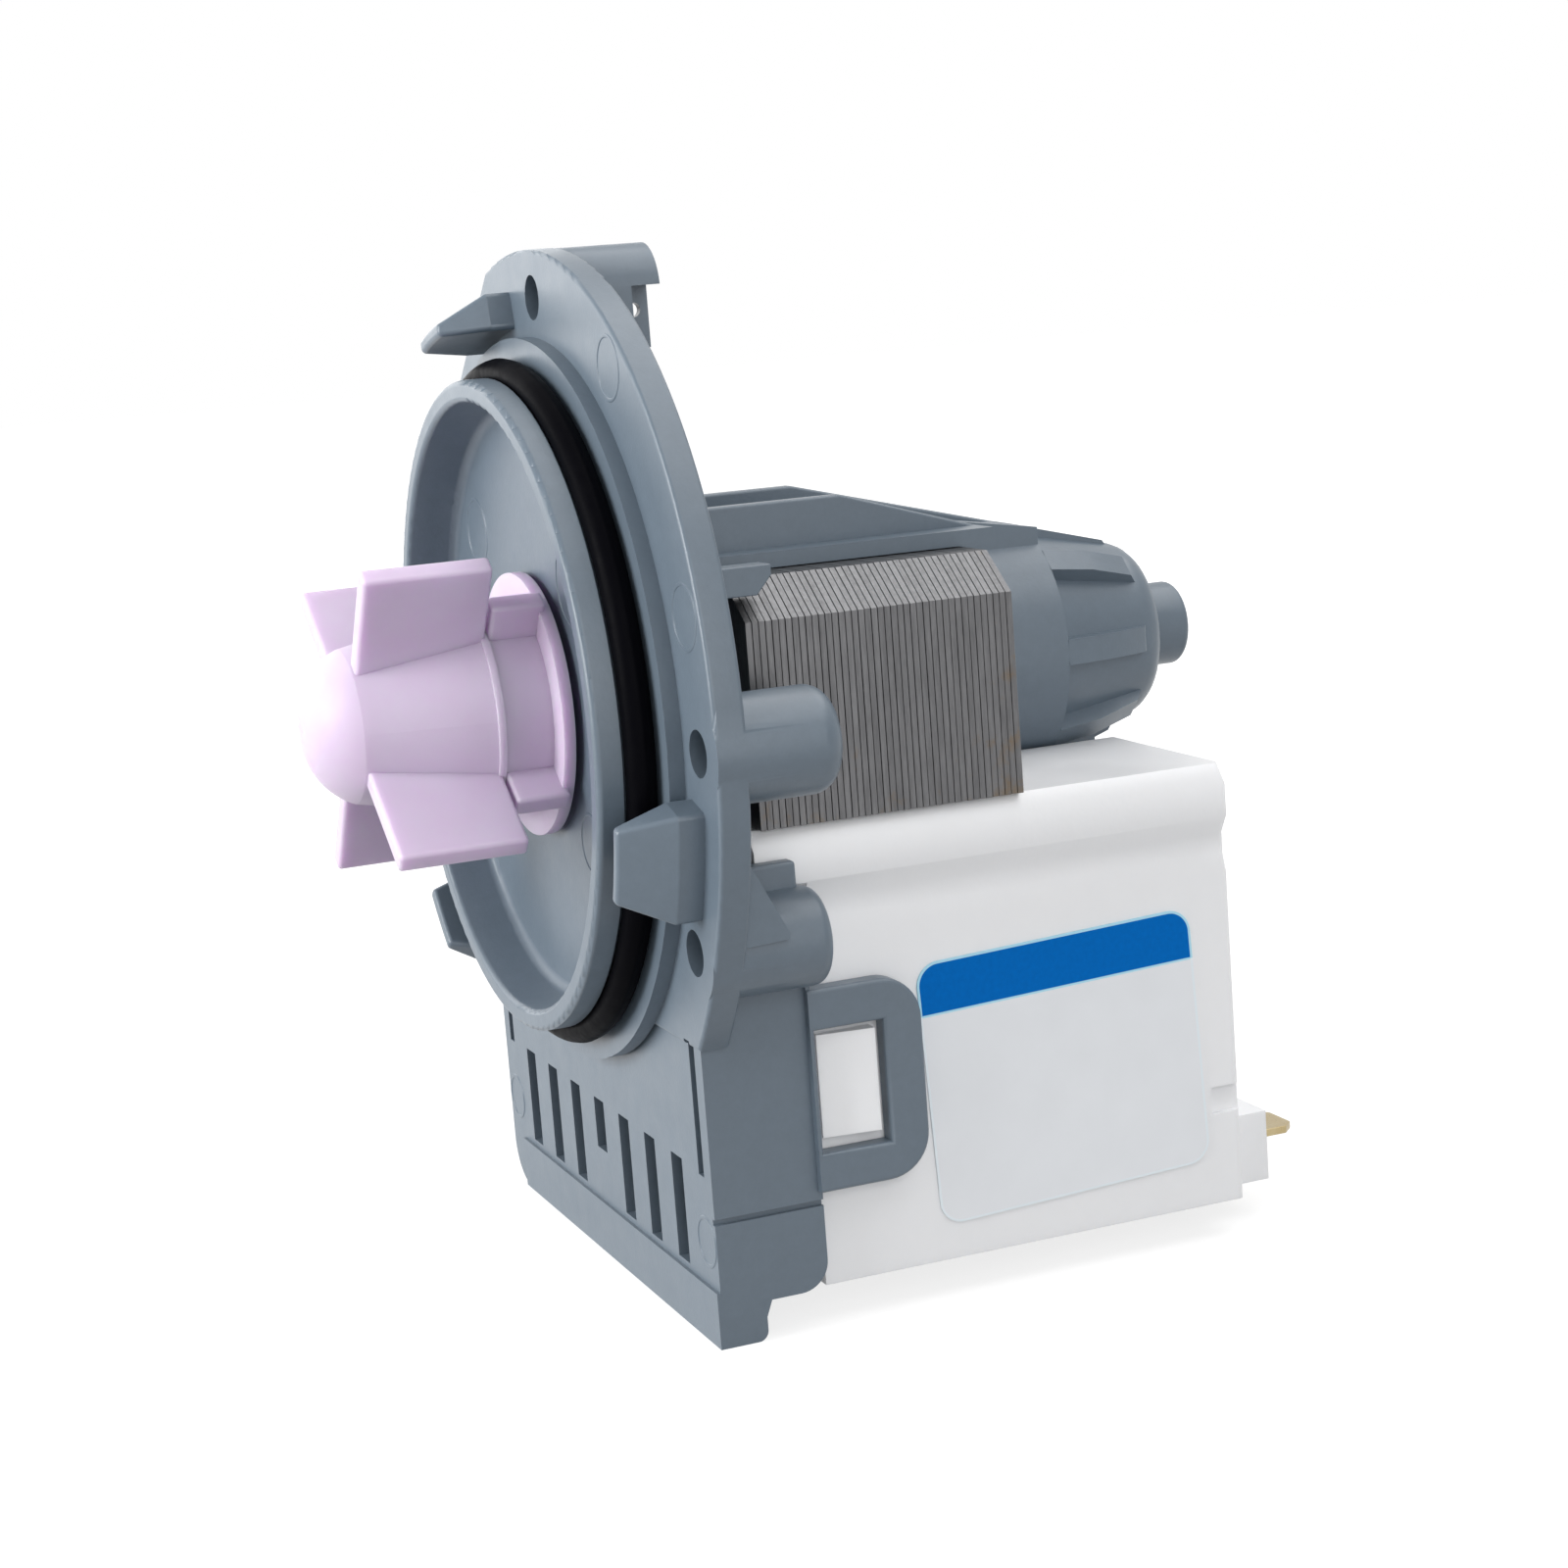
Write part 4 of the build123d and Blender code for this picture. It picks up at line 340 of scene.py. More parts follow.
@dataclass(frozen=True)
class MilkyPlastic:
    """The milky lilac plastic of the impeller, which lets light in."""

    name: str
    colour: Colour
    clouded: Colour
    cloud: float = 7.0
    patch: float = 2.2
    detail: float = 3.0
    roughness: float = 0.42
    roughness_spread: float = 0.1
    wave: float = 5.0
    wave_detail: float = 1.0
    wave_depth: float = 0.03
    grain: float = 0.4
    grain_depth: float = 0.006
    ior: float = 1.49
    gloss: float = 0.35
    depth_of_light: float = 0.75
    light_colour: Colour = (1.0, 0.72, 0.95)
    light_reach: float = 2.4

    def make(self) -> bpy.types.Material:
        """Wires the material.

        Returns:
            The material.
        """
        shader = Shader(self.name)
        clouds = shader.spots(self.cloud, self.detail)
        shader.colour(shader.mix(clouds, self.colour, self.clouded))
        shader.roughness(shader.spots(self.patch, self.detail, start=self.roughness,
                                      end=self.roughness + self.roughness_spread))
        soft = shader.bump(shader.noise(self.wave, self.wave_detail), self.wave_depth)
        shader.bump(shader.noise(self.grain), self.grain_depth, soft)
        shader.set(IOR=self.ior, Specular_IOR_Level=self.gloss, Subsurface_Weight=self.depth_of_light,
                   Subsurface_Radius=self.light_colour, Subsurface_Scale=self.light_reach * MM)
        return shader.material


@dataclass(frozen=True)
class Rubber:
    """A black or dark rubber with a waxy bloom and faint flow lines."""

    name: str
    colour: Colour
    bloom: Colour
    bloom_size: float = 6.0
    bloom_detail: float = 5.0
    bloom_roughness: float = 0.7
    bloom_low: float = 0.45
    bloom_high: float = 0.75
    patch: float = 1.5
    patch_detail: float = 4.0
    roughness: float = 0.5
    roughness_spread: float = 0.16
    line: float = 0.5
    line_stretch: tuple[float, float, float] = (6.0, 1.0, 6.0)
    line_depth: float = 0.02
    ior: float = 1.52
    gloss: float = 0.3

    def make(self) -> bpy.types.Material:
        """Wires the material.

        Returns:
            The material.
        """
        shader = Shader(self.name)
        noise = shader.noise(self.bloom_size, self.bloom_detail, self.bloom_roughness)
        bloom = shader.between(noise, self.bloom_low, self.bloom_high)
        shader.colour(shader.mix(bloom, self.colour, self.bloom))
        shader.roughness(shader.spots(self.patch, self.patch_detail, start=self.roughness,
                                      end=self.roughness + self.roughness_spread))
        lines = shader.noise(self.line, place=shader.stretched(self.line_stretch))
        shader.bump(lines, self.line_depth)
        shader.set(IOR=self.ior, Specular_IOR_Level=self.gloss)
        return shader.material


@dataclass(frozen=True)
class PunchedSteel:
    """The cut edges of the steel sheets in a pole core, each a little different.

    Brown lies in random stain spots and grows towards the core's rear. Low on the core it is partly stain
    and partly painted light, a brighter band at the bottom.
    """

    name: str
    first: float = 8.2
    pitch: float = 0.65
    spread: float = 0.14
    dark: Colour = (0.06, 0.06, 0.063)
    bright: Colour = (0.15, 0.15, 0.155)
    tone_low: float = 0.2
    tone_high: float = 0.95
    scratch: float = 0.35
    scratch_detail: float = 4.0
    scratch_roughness: float = 0.7
    scratch_stretch: tuple[float, float, float] = (1.0, 1.0, 9.0)
    scratch_depth: float = 0.02
    # Brown of the random stains, also laid low on the core as painted light.
    stain: Colour = (0.12, 0.085, 0.05)
    stain_size: float = 3.2
    stain_detail: float = 5.0
    stain_roughness: float = 0.75
    stain_low: float = 0.68
    stain_high: float = 0.86
    stain_share: float = 0.8
    # Painted light: below these heights the brown rises, standing for a brighter band at the bottom of the
    # sheets.
    foot_z: float = -9.0
    above_foot_z: float = -2.0
    foot_painted_light: float = 0.14
    before_rear_y: float = 28.0
    rear_y: float = 35.0
    rear_brown: float = 0.12
    shine_high: float = 0.9
    dull: float = 0.44
    polished: float = 0.28
    metallic: float = 0.85
    ior: float = 2.0

    def stains(self, shader: Shader, y: Socket, z: Socket) -> Socket:
        """Works out how much brown a point gets: random stains, painted light low on the core, and more
        towards its rear.

        Args:
            shader: The material's nodes.
            y: The point's place along the pump axis.
            z: The point's height.

        Returns:
            The brown's share, from 0 to stain_share.
        """
        spots = shader.noise(self.stain_size, self.stain_detail, self.stain_roughness)
        # Painted light: the brown rises towards the bottom of the core.
        low = shader.between(z, self.foot_z * MM, self.above_foot_z * MM, self.foot_painted_light, 0.0)
        rear = shader.between(y, self.before_rear_y * MM, self.rear_y * MM, 0.0, self.rear_brown)
        gathered = shader.math("ADD", spots, shader.math("ADD", low, rear))
        return shader.between(gathered, self.stain_low, self.stain_high, 0.0, self.stain_share)

    def make(self) -> bpy.types.Material:
        """Wires the material.

        Returns:
            The material.
        """
        shader = Shader(self.name)
        _, y, z = shader.parts_of(shader.place)
        along = shader.math("DIVIDE", shader.math("SUBTRACT", y, self.first * MM), self.pitch * MM)
        tone = shader.tree.nodes.new("ShaderNodeTexWhiteNoise")
        tone.noise_dimensions = "1D"
        shader.feed(tone.inputs["W"], shader.math("FLOOR", along))
        scratches = shader.noise(self.scratch, self.scratch_detail, self.scratch_roughness,
                                 shader.stretched(self.scratch_stretch))
        blend = shader.math("ADD", shader.math("MULTIPLY", tone.outputs["Value"], self.spread), scratches)
        steel = shader.mix(shader.between(blend, self.tone_low, self.tone_high), self.dark, self.bright)
        shader.colour(shader.mix(self.stains(shader, y, z), steel, self.stain))
        shader.roughness(shader.between(blend, self.tone_low, self.shine_high, self.dull, self.polished))
        shader.bump(scratches, self.scratch_depth)
        shader.set(Metallic=self.metallic, IOR=self.ior)
        return shader.material


@dataclass(frozen=True)
class WorkedMetal:
    """A turned or rolled metal with tool marks along one axis and light stains."""

    name: str
    colour: Colour
    worn: Colour
    roughness: float = 0.25
    roughness_spread: float = 0.15
    marks: Axis = Axis.Y
    mark_size: float = 0.16
    mark_stretch: float = 8.0
    mark_detail: float = 3.0
    mark_roughness: float = 0.6
    mark_low: float = 0.25
    mark_high: float = 0.75
    mark_depth: float = 0.006
    stain: float = 3.5
    stain_detail: float = 4.0
    stain_roughness: float = 0.7
    stain_low: float = 0.4
    stain_high: float = 0.75

    def make(self) -> bpy.types.Material:
        """Wires the material.

        Returns:
            The material.
        """
        shader = Shader(self.name)
        longer = [self.mark_stretch] * 3
        longer[self.marks.value] = 1.0
        marks = shader.noise(self.mark_size, self.mark_detail, self.mark_roughness,
                             shader.stretched(longer))
        noise = shader.noise(self.stain, self.stain_detail, self.stain_roughness)
        stains = shader.between(noise, self.stain_low, self.stain_high)
        shader.colour(shader.mix(stains, self.colour, self.worn))
        shader.roughness(shader.between(marks, self.mark_low, self.mark_high, self.roughness,
                                        self.roughness + self.roughness_spread))
        shader.bump(marks, self.mark_depth)
        shader.set(Metallic=1.0)
        return shader.material


@dataclass(frozen=True)
class Winding:
    """Enamelled copper wire, laid turn on turn along Z, with painted shade in the grooves between turns."""

    name: str
    wire: float = 0.3
    wire_depth: float = 0.12
    crest: float = 0.7
    colour: Colour = (0.55, 0.19, 0.07)
    # Painted shade: the colour of the grooves between turns.
    groove_shade: Colour = (0.36, 0.1, 0.035)
    waver: float = 0.1
    waver_size: float = 5.0
    patch: float = 1.4
    patch_detail: float = 3.0
    smoothest: float = 0.26
    roughest: float = 0.4
    metallic: float = 0.7
    coat: float = 0.5
    coat_roughness: float = 0.15

    def make(self) -> bpy.types.Material:
        """Wires the material.

        Returns:
            The material.
        """
        shader = Shader(self.name)
        waver = shader.between(shader.noise(self.waver_size), 0.0, 1.0, -self.waver * MM, self.waver * MM)
        height = shader.math("ADD", shader.parts_of(shader.place)[Axis.Z.value], waver)
        turns = shader.math("MULTIPLY", height, 2 * math.pi / (self.wire * MM))
        round_wire = shader.math("ABSOLUTE", shader.math("SINE", turns))
        # Painted shade: the grooves between turns take the darker colour, the crests the copper.
        shader.colour(shader.mix(shader.between(round_wire, 0.0, self.crest), self.groove_shade, self.colour))
        shader.roughness(shader.spots(self.patch, self.patch_detail, start=self.smoothest,
                                      end=self.roughest))
        shader.bump(round_wire, self.wire_depth)
        shader.set(Metallic=self.metallic, Coat_Weight=self.coat, Coat_Roughness=self.coat_roughness)
        return shader.material


@dataclass(frozen=True)
class Ferrite:
    """The dull dark ceramic of the rotor magnet, with fine pits."""

    name: str
    colour: Colour = (0.045, 0.045, 0.05)
    dust: Colour = (0.1, 0.1, 0.105)
    dust_size: float = 2.0
    dust_detail: float = 5.0
    dust_roughness: float = 0.7
    dust_low: float = 0.4
    dust_high: float = 0.8
    pit: float = 0.25
    pit_high: float = 0.45
    pit_depth: float = 0.03
    smoothest: float = 0.45
    roughest: float = 0.62
    metallic: float = 0.2

    def make(self) -> bpy.types.Material:
        """Wires the material.

        Returns:
            The material.
        """
        shader = Shader(self.name)
        noise = shader.noise(self.dust_size, self.dust_detail, self.dust_roughness)
        dust = shader.between(noise, self.dust_low, self.dust_high)
        shader.colour(shader.mix(dust, self.colour, self.dust))
        shader.roughness(shader.between(dust, 0.0, 1.0, self.smoothest, self.roughest))
        shader.bump(shader.between(shader.noise(self.pit), NOISE_LOW, self.pit_high), self.pit_depth)
        shader.set(Metallic=self.metallic)
        return shader.material


@dataclass(frozen=True)
class LabelFilm:
    """The printed film on the side of the coil housing: a blue band over a bare pale field."""

    name: str
    centre: tuple[float, float, float] = (31.5, 37.6, -36.8)
    tilt: float = 2.4
    half_length: float = 14.6
    half_height: float = 12.8
    corner: float = 2.3
    band: float = 5.05
    line: float = 0.22
    soft: float = 0.03
    inner_line: float = 0.07
    inner_line_edge: float = 0.13
    blue: Colour = (0.0, 0.118, 0.43)
    blue_spread: float = 1.25
    blue_grain: float = 0.5
    field_colour: Colour = (0.8, 0.82, 0.85)
    field_spread: float = 0.96
    field_cloud: float = 5.0
    cloud_detail: float = 3.0
    cloud_low: float = 0.2
    cloud_high: float = 0.8
    line_colour: Colour = (0.42, 0.72, 0.86)
    rim_colour: Colour = (0.78, 0.84, 0.88)
    patch: float = 3.0
    patch_detail: float = 4.0
    smoothest: float = 0.3
    roughest: float = 0.42
    wave: float = 2.5
    wave_depth: float = 0.02
    ior: float = 1.46
    gloss: float = 0.06

    def edge_depth(self, shader: Shader, along: Socket, up: Socket) -> Socket:
        """Works out how far a point lies inside the label's rounded outline.

        Args:
            shader: The material's nodes.
            along: The place along the label, in metres from its middle.
            up: The place up the label, in metres from its middle.

        Returns:
            The depth's socket, in metres.
        """
        out = [shader.math("SUBTRACT", shader.math("ABSOLUTE", place), (half - self.corner) * MM)
               for place, half in ((along, self.half_length), (up, self.half_height))]
        beyond = [shader.math("MAXIMUM", amount, 0.0) for amount in out]
        squares = [shader.math("MULTIPLY", amount, amount) for amount in beyond]
        corner = shader.math("SQRT", shader.math("ADD", *squares))
        inside = shader.math("MINIMUM", shader.math("MAXIMUM", *out), 0.0)
        return shader.math("SUBTRACT", self.corner * MM, shader.math("ADD", corner, inside))

    def shaded(self, colour: Colour, spread: float) -> Colour:
        """Returns a colour made brighter or darker by a factor."""
        return tuple(spread * part for part in colour)

    def print_colours(self, shader: Shader, in_band: Socket, near_edge: Socket, at_rim: Socket) -> Socket:
        """Lays the label's colours over each other.

        Args:
            shader: The material's nodes.
            in_band: 1 in the blue band.
            near_edge: 1 on the line under the band.
            at_rim: 1 on the line round the label.

        Returns:
            The colour's socket.
        """
        noise = shader.noise(self.field_cloud, self.cloud_detail)
        clouds = shader.between(noise, self.cloud_low, self.cloud_high)
        pale = shader.mix(clouds, self.field_colour, self.shaded(self.field_colour, self.field_spread))
        blue = shader.mix(shader.noise(self.blue_grain), self.blue, self.shaded(self.blue, self.blue_spread))
        rim = shader.mix(in_band, self.rim_colour, self.line_colour)
        ground = shader.mix(in_band, pale, blue)
        lined = shader.mix(near_edge, ground, self.line_colour)
        return shader.mix(at_rim, lined, rim)

    def make(self) -> bpy.types.Material:
        """Wires the material.

        Returns:
            The material.
        """
        shader = Shader(self.name)
        _, along, up = shader.parts_of(shader.stretched((1.0, 1.0, 1.0), (self.tilt, 0.0, 0.0), self.centre))
        band_edge = (self.half_height - self.band) * MM
        soft = self.soft * MM
        in_band = shader.between(up, band_edge - soft, band_edge + soft)
        from_edge = shader.math("ABSOLUTE", shader.math("SUBTRACT", up, band_edge))
        near_edge = shader.between(from_edge, self.inner_line * MM, self.inner_line_edge * MM, 1.0, 0.0)
        depth = self.edge_depth(shader, along, up)
        at_rim = shader.between(depth, self.line * MM, self.line * MM + soft, 1.0, 0.0)
        shader.colour(self.print_colours(shader, in_band, near_edge, at_rim))
        shader.roughness(shader.spots(self.patch, self.patch_detail, start=self.smoothest,
                                      end=self.roughest))
        shader.bump(shader.noise(self.wave), self.wave_depth)
        shader.set(IOR=self.ior, Specular_IOR_Level=self.gloss)
        return shader.material


@dataclass(frozen=True)
class WovenSleeve:
    """The braided insulation of the leads."""

    name: str
    colour: Colour
    shade: Colour
    braid: float = 0.35
    braid_depth: float = 0.05
    patch: float = 1.0
    patch_detail: float = 3.0
    smoothest: float = 0.5
    roughest: float = 0.7

    def make(self) -> bpy.types.Material:
        """Wires the material.

        Returns:
            The material.
        """
        shader = Shader(self.name)
        x, y, z = shader.parts_of(shader.place)
        step = 2 * math.pi / (self.braid * MM)
        across = shader.math("ADD", x, y)
        strands = [shader.math("SINE", shader.math("MULTIPLY", shader.math(way, across, z), step))
                   for way in ("ADD", "SUBTRACT")]
        braid = shader.between(shader.math("MULTIPLY", *strands), -1.0, 1.0)
        shader.colour(shader.mix(braid, self.shade, self.colour))
        shader.roughness(shader.spots(self.patch, self.patch_detail, start=self.smoothest,
                                      end=self.roughest))
        shader.bump(braid, self.braid_depth)
        return shader.material


@dataclass(frozen=True)
class Finishes:
    """Every finish of the pump, by the record's material slot."""

    def make(self) -> dict[str, bpy.types.Material]:
        """Makes every finish.

        Returns:
            The materials by slot.
        """
        rows = {
            "grey_plastic": MouldedPlastic("grey_plastic", (0.106, 0.138, 0.172), (0.112, 0.145, 0.18),
                                           roughness=0.33, roughness_spread=0.06, sink_depth=0.014),
            "white_plastic": MouldedPlastic("white_plastic", (0.815, 0.82, 0.835), (0.825, 0.83, 0.845),
                                            roughness=0.3, cloud=30.0, speck=2.4, fleck=0.008, grain=0.6,
                                            grain_depth=0.01, sink=16.0, sink_depth=0.05,
                                            depth_of_light=0.25),
            "bobbin_plastic": MouldedPlastic("bobbin_plastic", (0.62, 0.62, 0.6), (0.7, 0.7, 0.68)),
            "sleeve_plastic": MouldedPlastic("sleeve_plastic", (0.05, 0.05, 0.055), (0.07, 0.07, 0.075)),
            "cutout_case": MouldedPlastic("cutout_case", (0.5, 0.47, 0.4), (0.58, 0.54, 0.46)),
            "washer_plastic": MouldedPlastic("washer_plastic", (0.36, 0.25, 0.12), (0.42, 0.3, 0.16)),
            "lilac_plastic": MilkyPlastic("lilac_plastic", (0.6, 0.49, 0.64), (0.62, 0.53, 0.67)),
            "black_rubber": Rubber("black_rubber", (0.002, 0.002, 0.003), (0.003, 0.003, 0.004),
                                   roughness=0.34, gloss=0.012),
            "soft_rubber": Rubber("soft_rubber", (0.02, 0.02, 0.021), (0.045, 0.045, 0.047), roughness=0.5),
            "sheet_steel": PunchedSteel("sheet_steel"),
            "label_film": LabelFilm("label_film"),
            "brass_blade": WorkedMetal("brass_blade", (0.47, 0.39, 0.23), (0.4, 0.31, 0.16)),
            "shaft_steel": WorkedMetal("shaft_steel", (0.62, 0.62, 0.63), (0.5, 0.5, 0.51), roughness=0.18),
            "bearing_bronze": WorkedMetal("bearing_bronze", (0.42, 0.26, 0.12), (0.3, 0.18, 0.08),
                                          roughness=0.42, mark_size=0.3, mark_depth=0.02),
            "copper_wire": Winding("copper_wire"),
            "ferrite": Ferrite("ferrite"),
            "lead_insulation": WovenSleeve("lead_insulation", (0.75, 0.74, 0.7), (0.5, 0.49, 0.45)),
        }
        return {slot: finish.make() for slot, finish in rows.items()}


def take(piece: Piece) -> None:
    """Makes a piece the only selected and active one.

    Args:
        piece: The piece.
    """
    bpy.ops.object.select_all(action="DESELECT")
    piece.select_set(True)
    bpy.context.view_layer.objects.active = piece


def settle(piece: Piece) -> None:
    """Puts a piece's place, turn and scale into its mesh."""
    take(piece)
    bpy.ops.object.transform_apply(location=True, rotation=True, scale=True)


def apply_modifiers(piece: Piece) -> None:
    """Applies every modifier of a piece in its order.

    Args:
        piece: The piece.
    """
    take(piece)
    for modifier in list(piece.modifiers):
        bpy.ops.object.modifier_apply(modifier=modifier.name)


def smooth(piece: Piece, degrees: float = 35.0) -> None:
    """Shades a piece smoothly up to an edge angle, with its large flat faces kept flat.

    Args:
        piece: The piece.
        degrees: The least angle of an edge that stays sharp.
    """
    take(piece)
    bpy.ops.object.shade_smooth_by_angle(angle=math.radians(degrees))
    even = piece.modifiers.new("even", "WEIGHTED_NORMAL")
    even.keep_sharp = True
    apply_modifiers(piece)


def triangles(piece: Piece) -> int:
    """Returns how many triangles a piece has."""
    return sum(len(face.vertices) - 2 for face in piece.data.polygons)


def merged_copy(node: str, name: str) -> Piece:
    """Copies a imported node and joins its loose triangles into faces.

    Args:
        node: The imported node.
        name: The new piece's name.

    Returns:
        The new piece, with its place in its mesh.
    """
    piece = bpy.data.objects.new(name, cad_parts[node].data.copy())
    bpy.context.scene.collection.objects.link(piece)
    take(piece)
    bpy.ops.object.mode_set(mode="EDIT")
    bpy.ops.mesh.select_all(action="SELECT")
    bpy.ops.mesh.customdata_custom_splitnormals_clear()
    bpy.ops.mesh.remove_doubles(threshold=WELD * MM)
    bpy.ops.mesh.dissolve_limited(angle_limit=math.radians(FLAT_DEGREES))
    bpy.ops.object.mode_set(mode="OBJECT")
    return piece


def soften(piece: Piece, width: float, sharper: float = 40.0, longer: float = 1.2,
           chosen: "Callable[[Vector, Vector], bool] | None" = None, segments: int = 2) -> None:
    """Rounds the long sharp outer edges of a piece.

    Args:
        piece: The piece.
        width: The width of the rounding in millimetres.
        sharper: The least angle between an edge's faces, in degrees.
        longer: The least length of an edge in millimetres.
        chosen: Tells from an edge's middle and direction whether it is rounded.
        segments: How many faces the rounding has.
    """
    shape = bmesh.new()
    shape.from_mesh(piece.data)
    weight = shape.edges.layers.float.new("bevel_weight_edge")
    for edge in shape.edges:
        if len(edge.link_faces) != 2 or not edge.is_convex:
            continue
        middle = (edge.verts[0].co + edge.verts[1].co) / 2
        way = (edge.verts[1].co - edge.verts[0].co).normalized()
        sharp = edge.calc_face_angle() > math.radians(sharper)
        if sharp and edge.calc_length() > longer * MM and (chosen is None or chosen(middle, way)):
            edge[weight] = 1.0
    shape.to_mesh(piece.data)
    shape.free()
    rounding = piece.modifiers.new("rounding", "BEVEL")
    rounding.limit_method = "WEIGHT"
    rounding.width = width * MM
    rounding.segments = segments
    rounding.harden_normals = False
    rounding.use_clamp_overlap = True
    apply_modifiers(piece)


def finish_piece(piece: Piece, body: str, finish: bpy.types.Material) -> None:
    """Gives a new piece its finish and the body that it moves with.

    Args:
        piece: The piece.
        body: The body that it rides on.
        finish: The material.
    """
    piece.data.materials.clear()
    piece.data.materials.append(finish)
    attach(piece, body)
    log.info("%s: %d triangles", piece.name, triangles(piece))


def dress(node: str, finish: bpy.types.Material) -> None:
    """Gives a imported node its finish.

    Args:
        node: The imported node.
        finish: The material.
    """
    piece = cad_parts[node]
    if not piece.material_slots:
        piece.data.materials.append(finish)
    for place in piece.material_slots:
        place.material = finish
    log.info("%s: packed shape, %s", node, finish.name)


@dataclass
class SubAssembly:
    """A group of pieces that are dressed together."""

    finishes: dict[str, bpy.types.Material]

    def build(self) -> None:
        """Builds and dresses the group."""
        raise NotImplementedError


@dataclass
class RingMark:
    """The witness of a mould pin: a fine raised circle on a face that looks toward -Y."""

    x: float
    z: float
    y: float
    radius: float
    line: float = 0.2
    rise: float = 0.09
    turns: int = 64
    around: int = 8

    def build(self, name: str) -> Piece:
        """Models the circle.

        Args:
            name: The piece's name.

        Returns:
            The piece.
        """
        bpy.ops.object.select_all(action="DESELECT")
        bpy.ops.mesh.primitive_torus_add(
            location=(self.x * MM, self.y * MM, self.z * MM), rotation=(math.pi / 2, 0.0, 0.0),
            major_radius=self.radius * MM, minor_radius=self.line * MM,
            major_segments=self.turns, minor_segments=self.around)
        piece = bpy.context.object
        piece.name = name
        piece.scale = (1.0, 1.0, self.rise / self.line)
        settle(piece)
        smooth(piece)
        return piece


@dataclass
class FrontBody(SubAssembly):
    """Flange, cup, can, fins and vent bracket: one grey moulding with its mould marks."""

    round_width: float = 0.22
    straightness: float = 0.9999
    behind: float = 0.2
    shade_degrees: float = 43.0
    flange_y: float = 0.0
    flange_mark: float = 2.9
    flange_marks: tuple[tuple[float, float], ...] = ((23.7, 32.6), (38.6, 11.2), (-38.6, 11.2))
    floor_y: float = -1.8
    floor_marks: tuple[tuple[float, float, float], ...] = (
        (-17.5, 15.9, 3.4), (12.6, 12.6, 4.2), (16.6, -0.9, 2.6),
        (12.2, -12.5, 2.9), (-15.5, -14.0, 2.9), (-20.0, 1.0, 2.6))
    bracket_y: float = 0.4
    bracket_mark: float = 2.3
    bracket_marks: tuple[tuple[float, float], ...] = ((29.9, -47.65), (-29.9, -47.65))

    def marks(self) -> list[RingMark]:
        """Places the circles that the mould's pins left.

        Returns:
            The circles.
        """
        flange = [RingMark(x, z, self.flange_y, self.flange_mark) for x, z in self.flange_marks]
        floor = [RingMark(x, z, self.floor_y, radius) for x, z, radius in self.floor_marks]
        bracket = [RingMark(x, z, self.bracket_y, self.bracket_mark) for x, z in self.bracket_marks]
        return flange + floor + bracket

    def straight(self, middle: Vector, way: Vector) -> bool:
        """Tells whether an edge runs along an axis, behind the cup.

        Args:
            middle: The edge's middle.
            way: Its direction.

        Returns:
            Whether it is one to round.
        """
        along = max(abs(part) for part in way)
        return along > self.straightness and middle.y > self.flange_y + self.behind * MM

    def build(self) -> None:
        """Builds the softened moulding and its marks."""
        grey = self.finishes["grey_plastic"]
        body = merged_copy("front_body", "front_moulding")
        soften(body, self.round_width, chosen=self.straight)
        smooth(body, self.shade_degrees)
        finish_piece(body, HOUSING, grey)
        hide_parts("front_body")
        rings = [mark.build("mould_mark") for mark in self.marks()]
        bpy.ops.object.select_all(action="DESELECT")
        for ring in rings:
            ring.select_set(True)
        bpy.context.view_layer.objects.active = rings[0]
        bpy.ops.object.join()
        rings[0].name = "mould_marks"
        finish_piece(rings[0], HOUSING, grey)


@dataclass
class SealingRing(SubAssembly):
    """The black ring of round section, with the fine flash line of its mould."""

    centre_radius: float = 32.35
    section: float = 1.4
    y: float = -2.95
    flash: float = 0.045
    flash_band: float = 0.01
    turns: int = 192
    around: int = 40
    shade_degrees: float = 60.0

    def build(self) -> None:
        """Turns a torus about the pump axis and raises its flash line."""
        bpy.ops.object.select_all(action="DESELECT")
        bpy.ops.mesh.primitive_torus_add(
            location=(0.0, self.y * MM, 0.0), rotation=(math.pi / 2, 0.0, 0.0),
            major_radius=self.centre_radius * MM, minor_radius=self.section * MM,
            major_segments=self.turns, minor_segments=self.around)
        ring = bpy.context.object
        ring.name = "sealing_ring"
        settle(ring)
        bpy.ops.object.mode_set(mode="EDIT")
        bpy.ops.mesh.select_all(action="DESELECT")
        mesh = bmesh.from_edit_mesh(ring.data)
        reach = (self.centre_radius + self.section) * MM
        for vertex in mesh.verts:
            away = math.hypot(vertex.co.x, vertex.co.z)
            vertex.select_set(away > reach - self.flash_band * MM)
        bmesh.update_edit_mesh(ring.data)
        bpy.ops.transform.shrink_fatten(value=self.flash * MM)
        bpy.ops.object.mode_set(mode="OBJECT")
        smooth(ring, self.shade_degrees)
        finish_piece(ring, HOUSING, self.finishes["black_rubber"])
        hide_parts("o_ring")


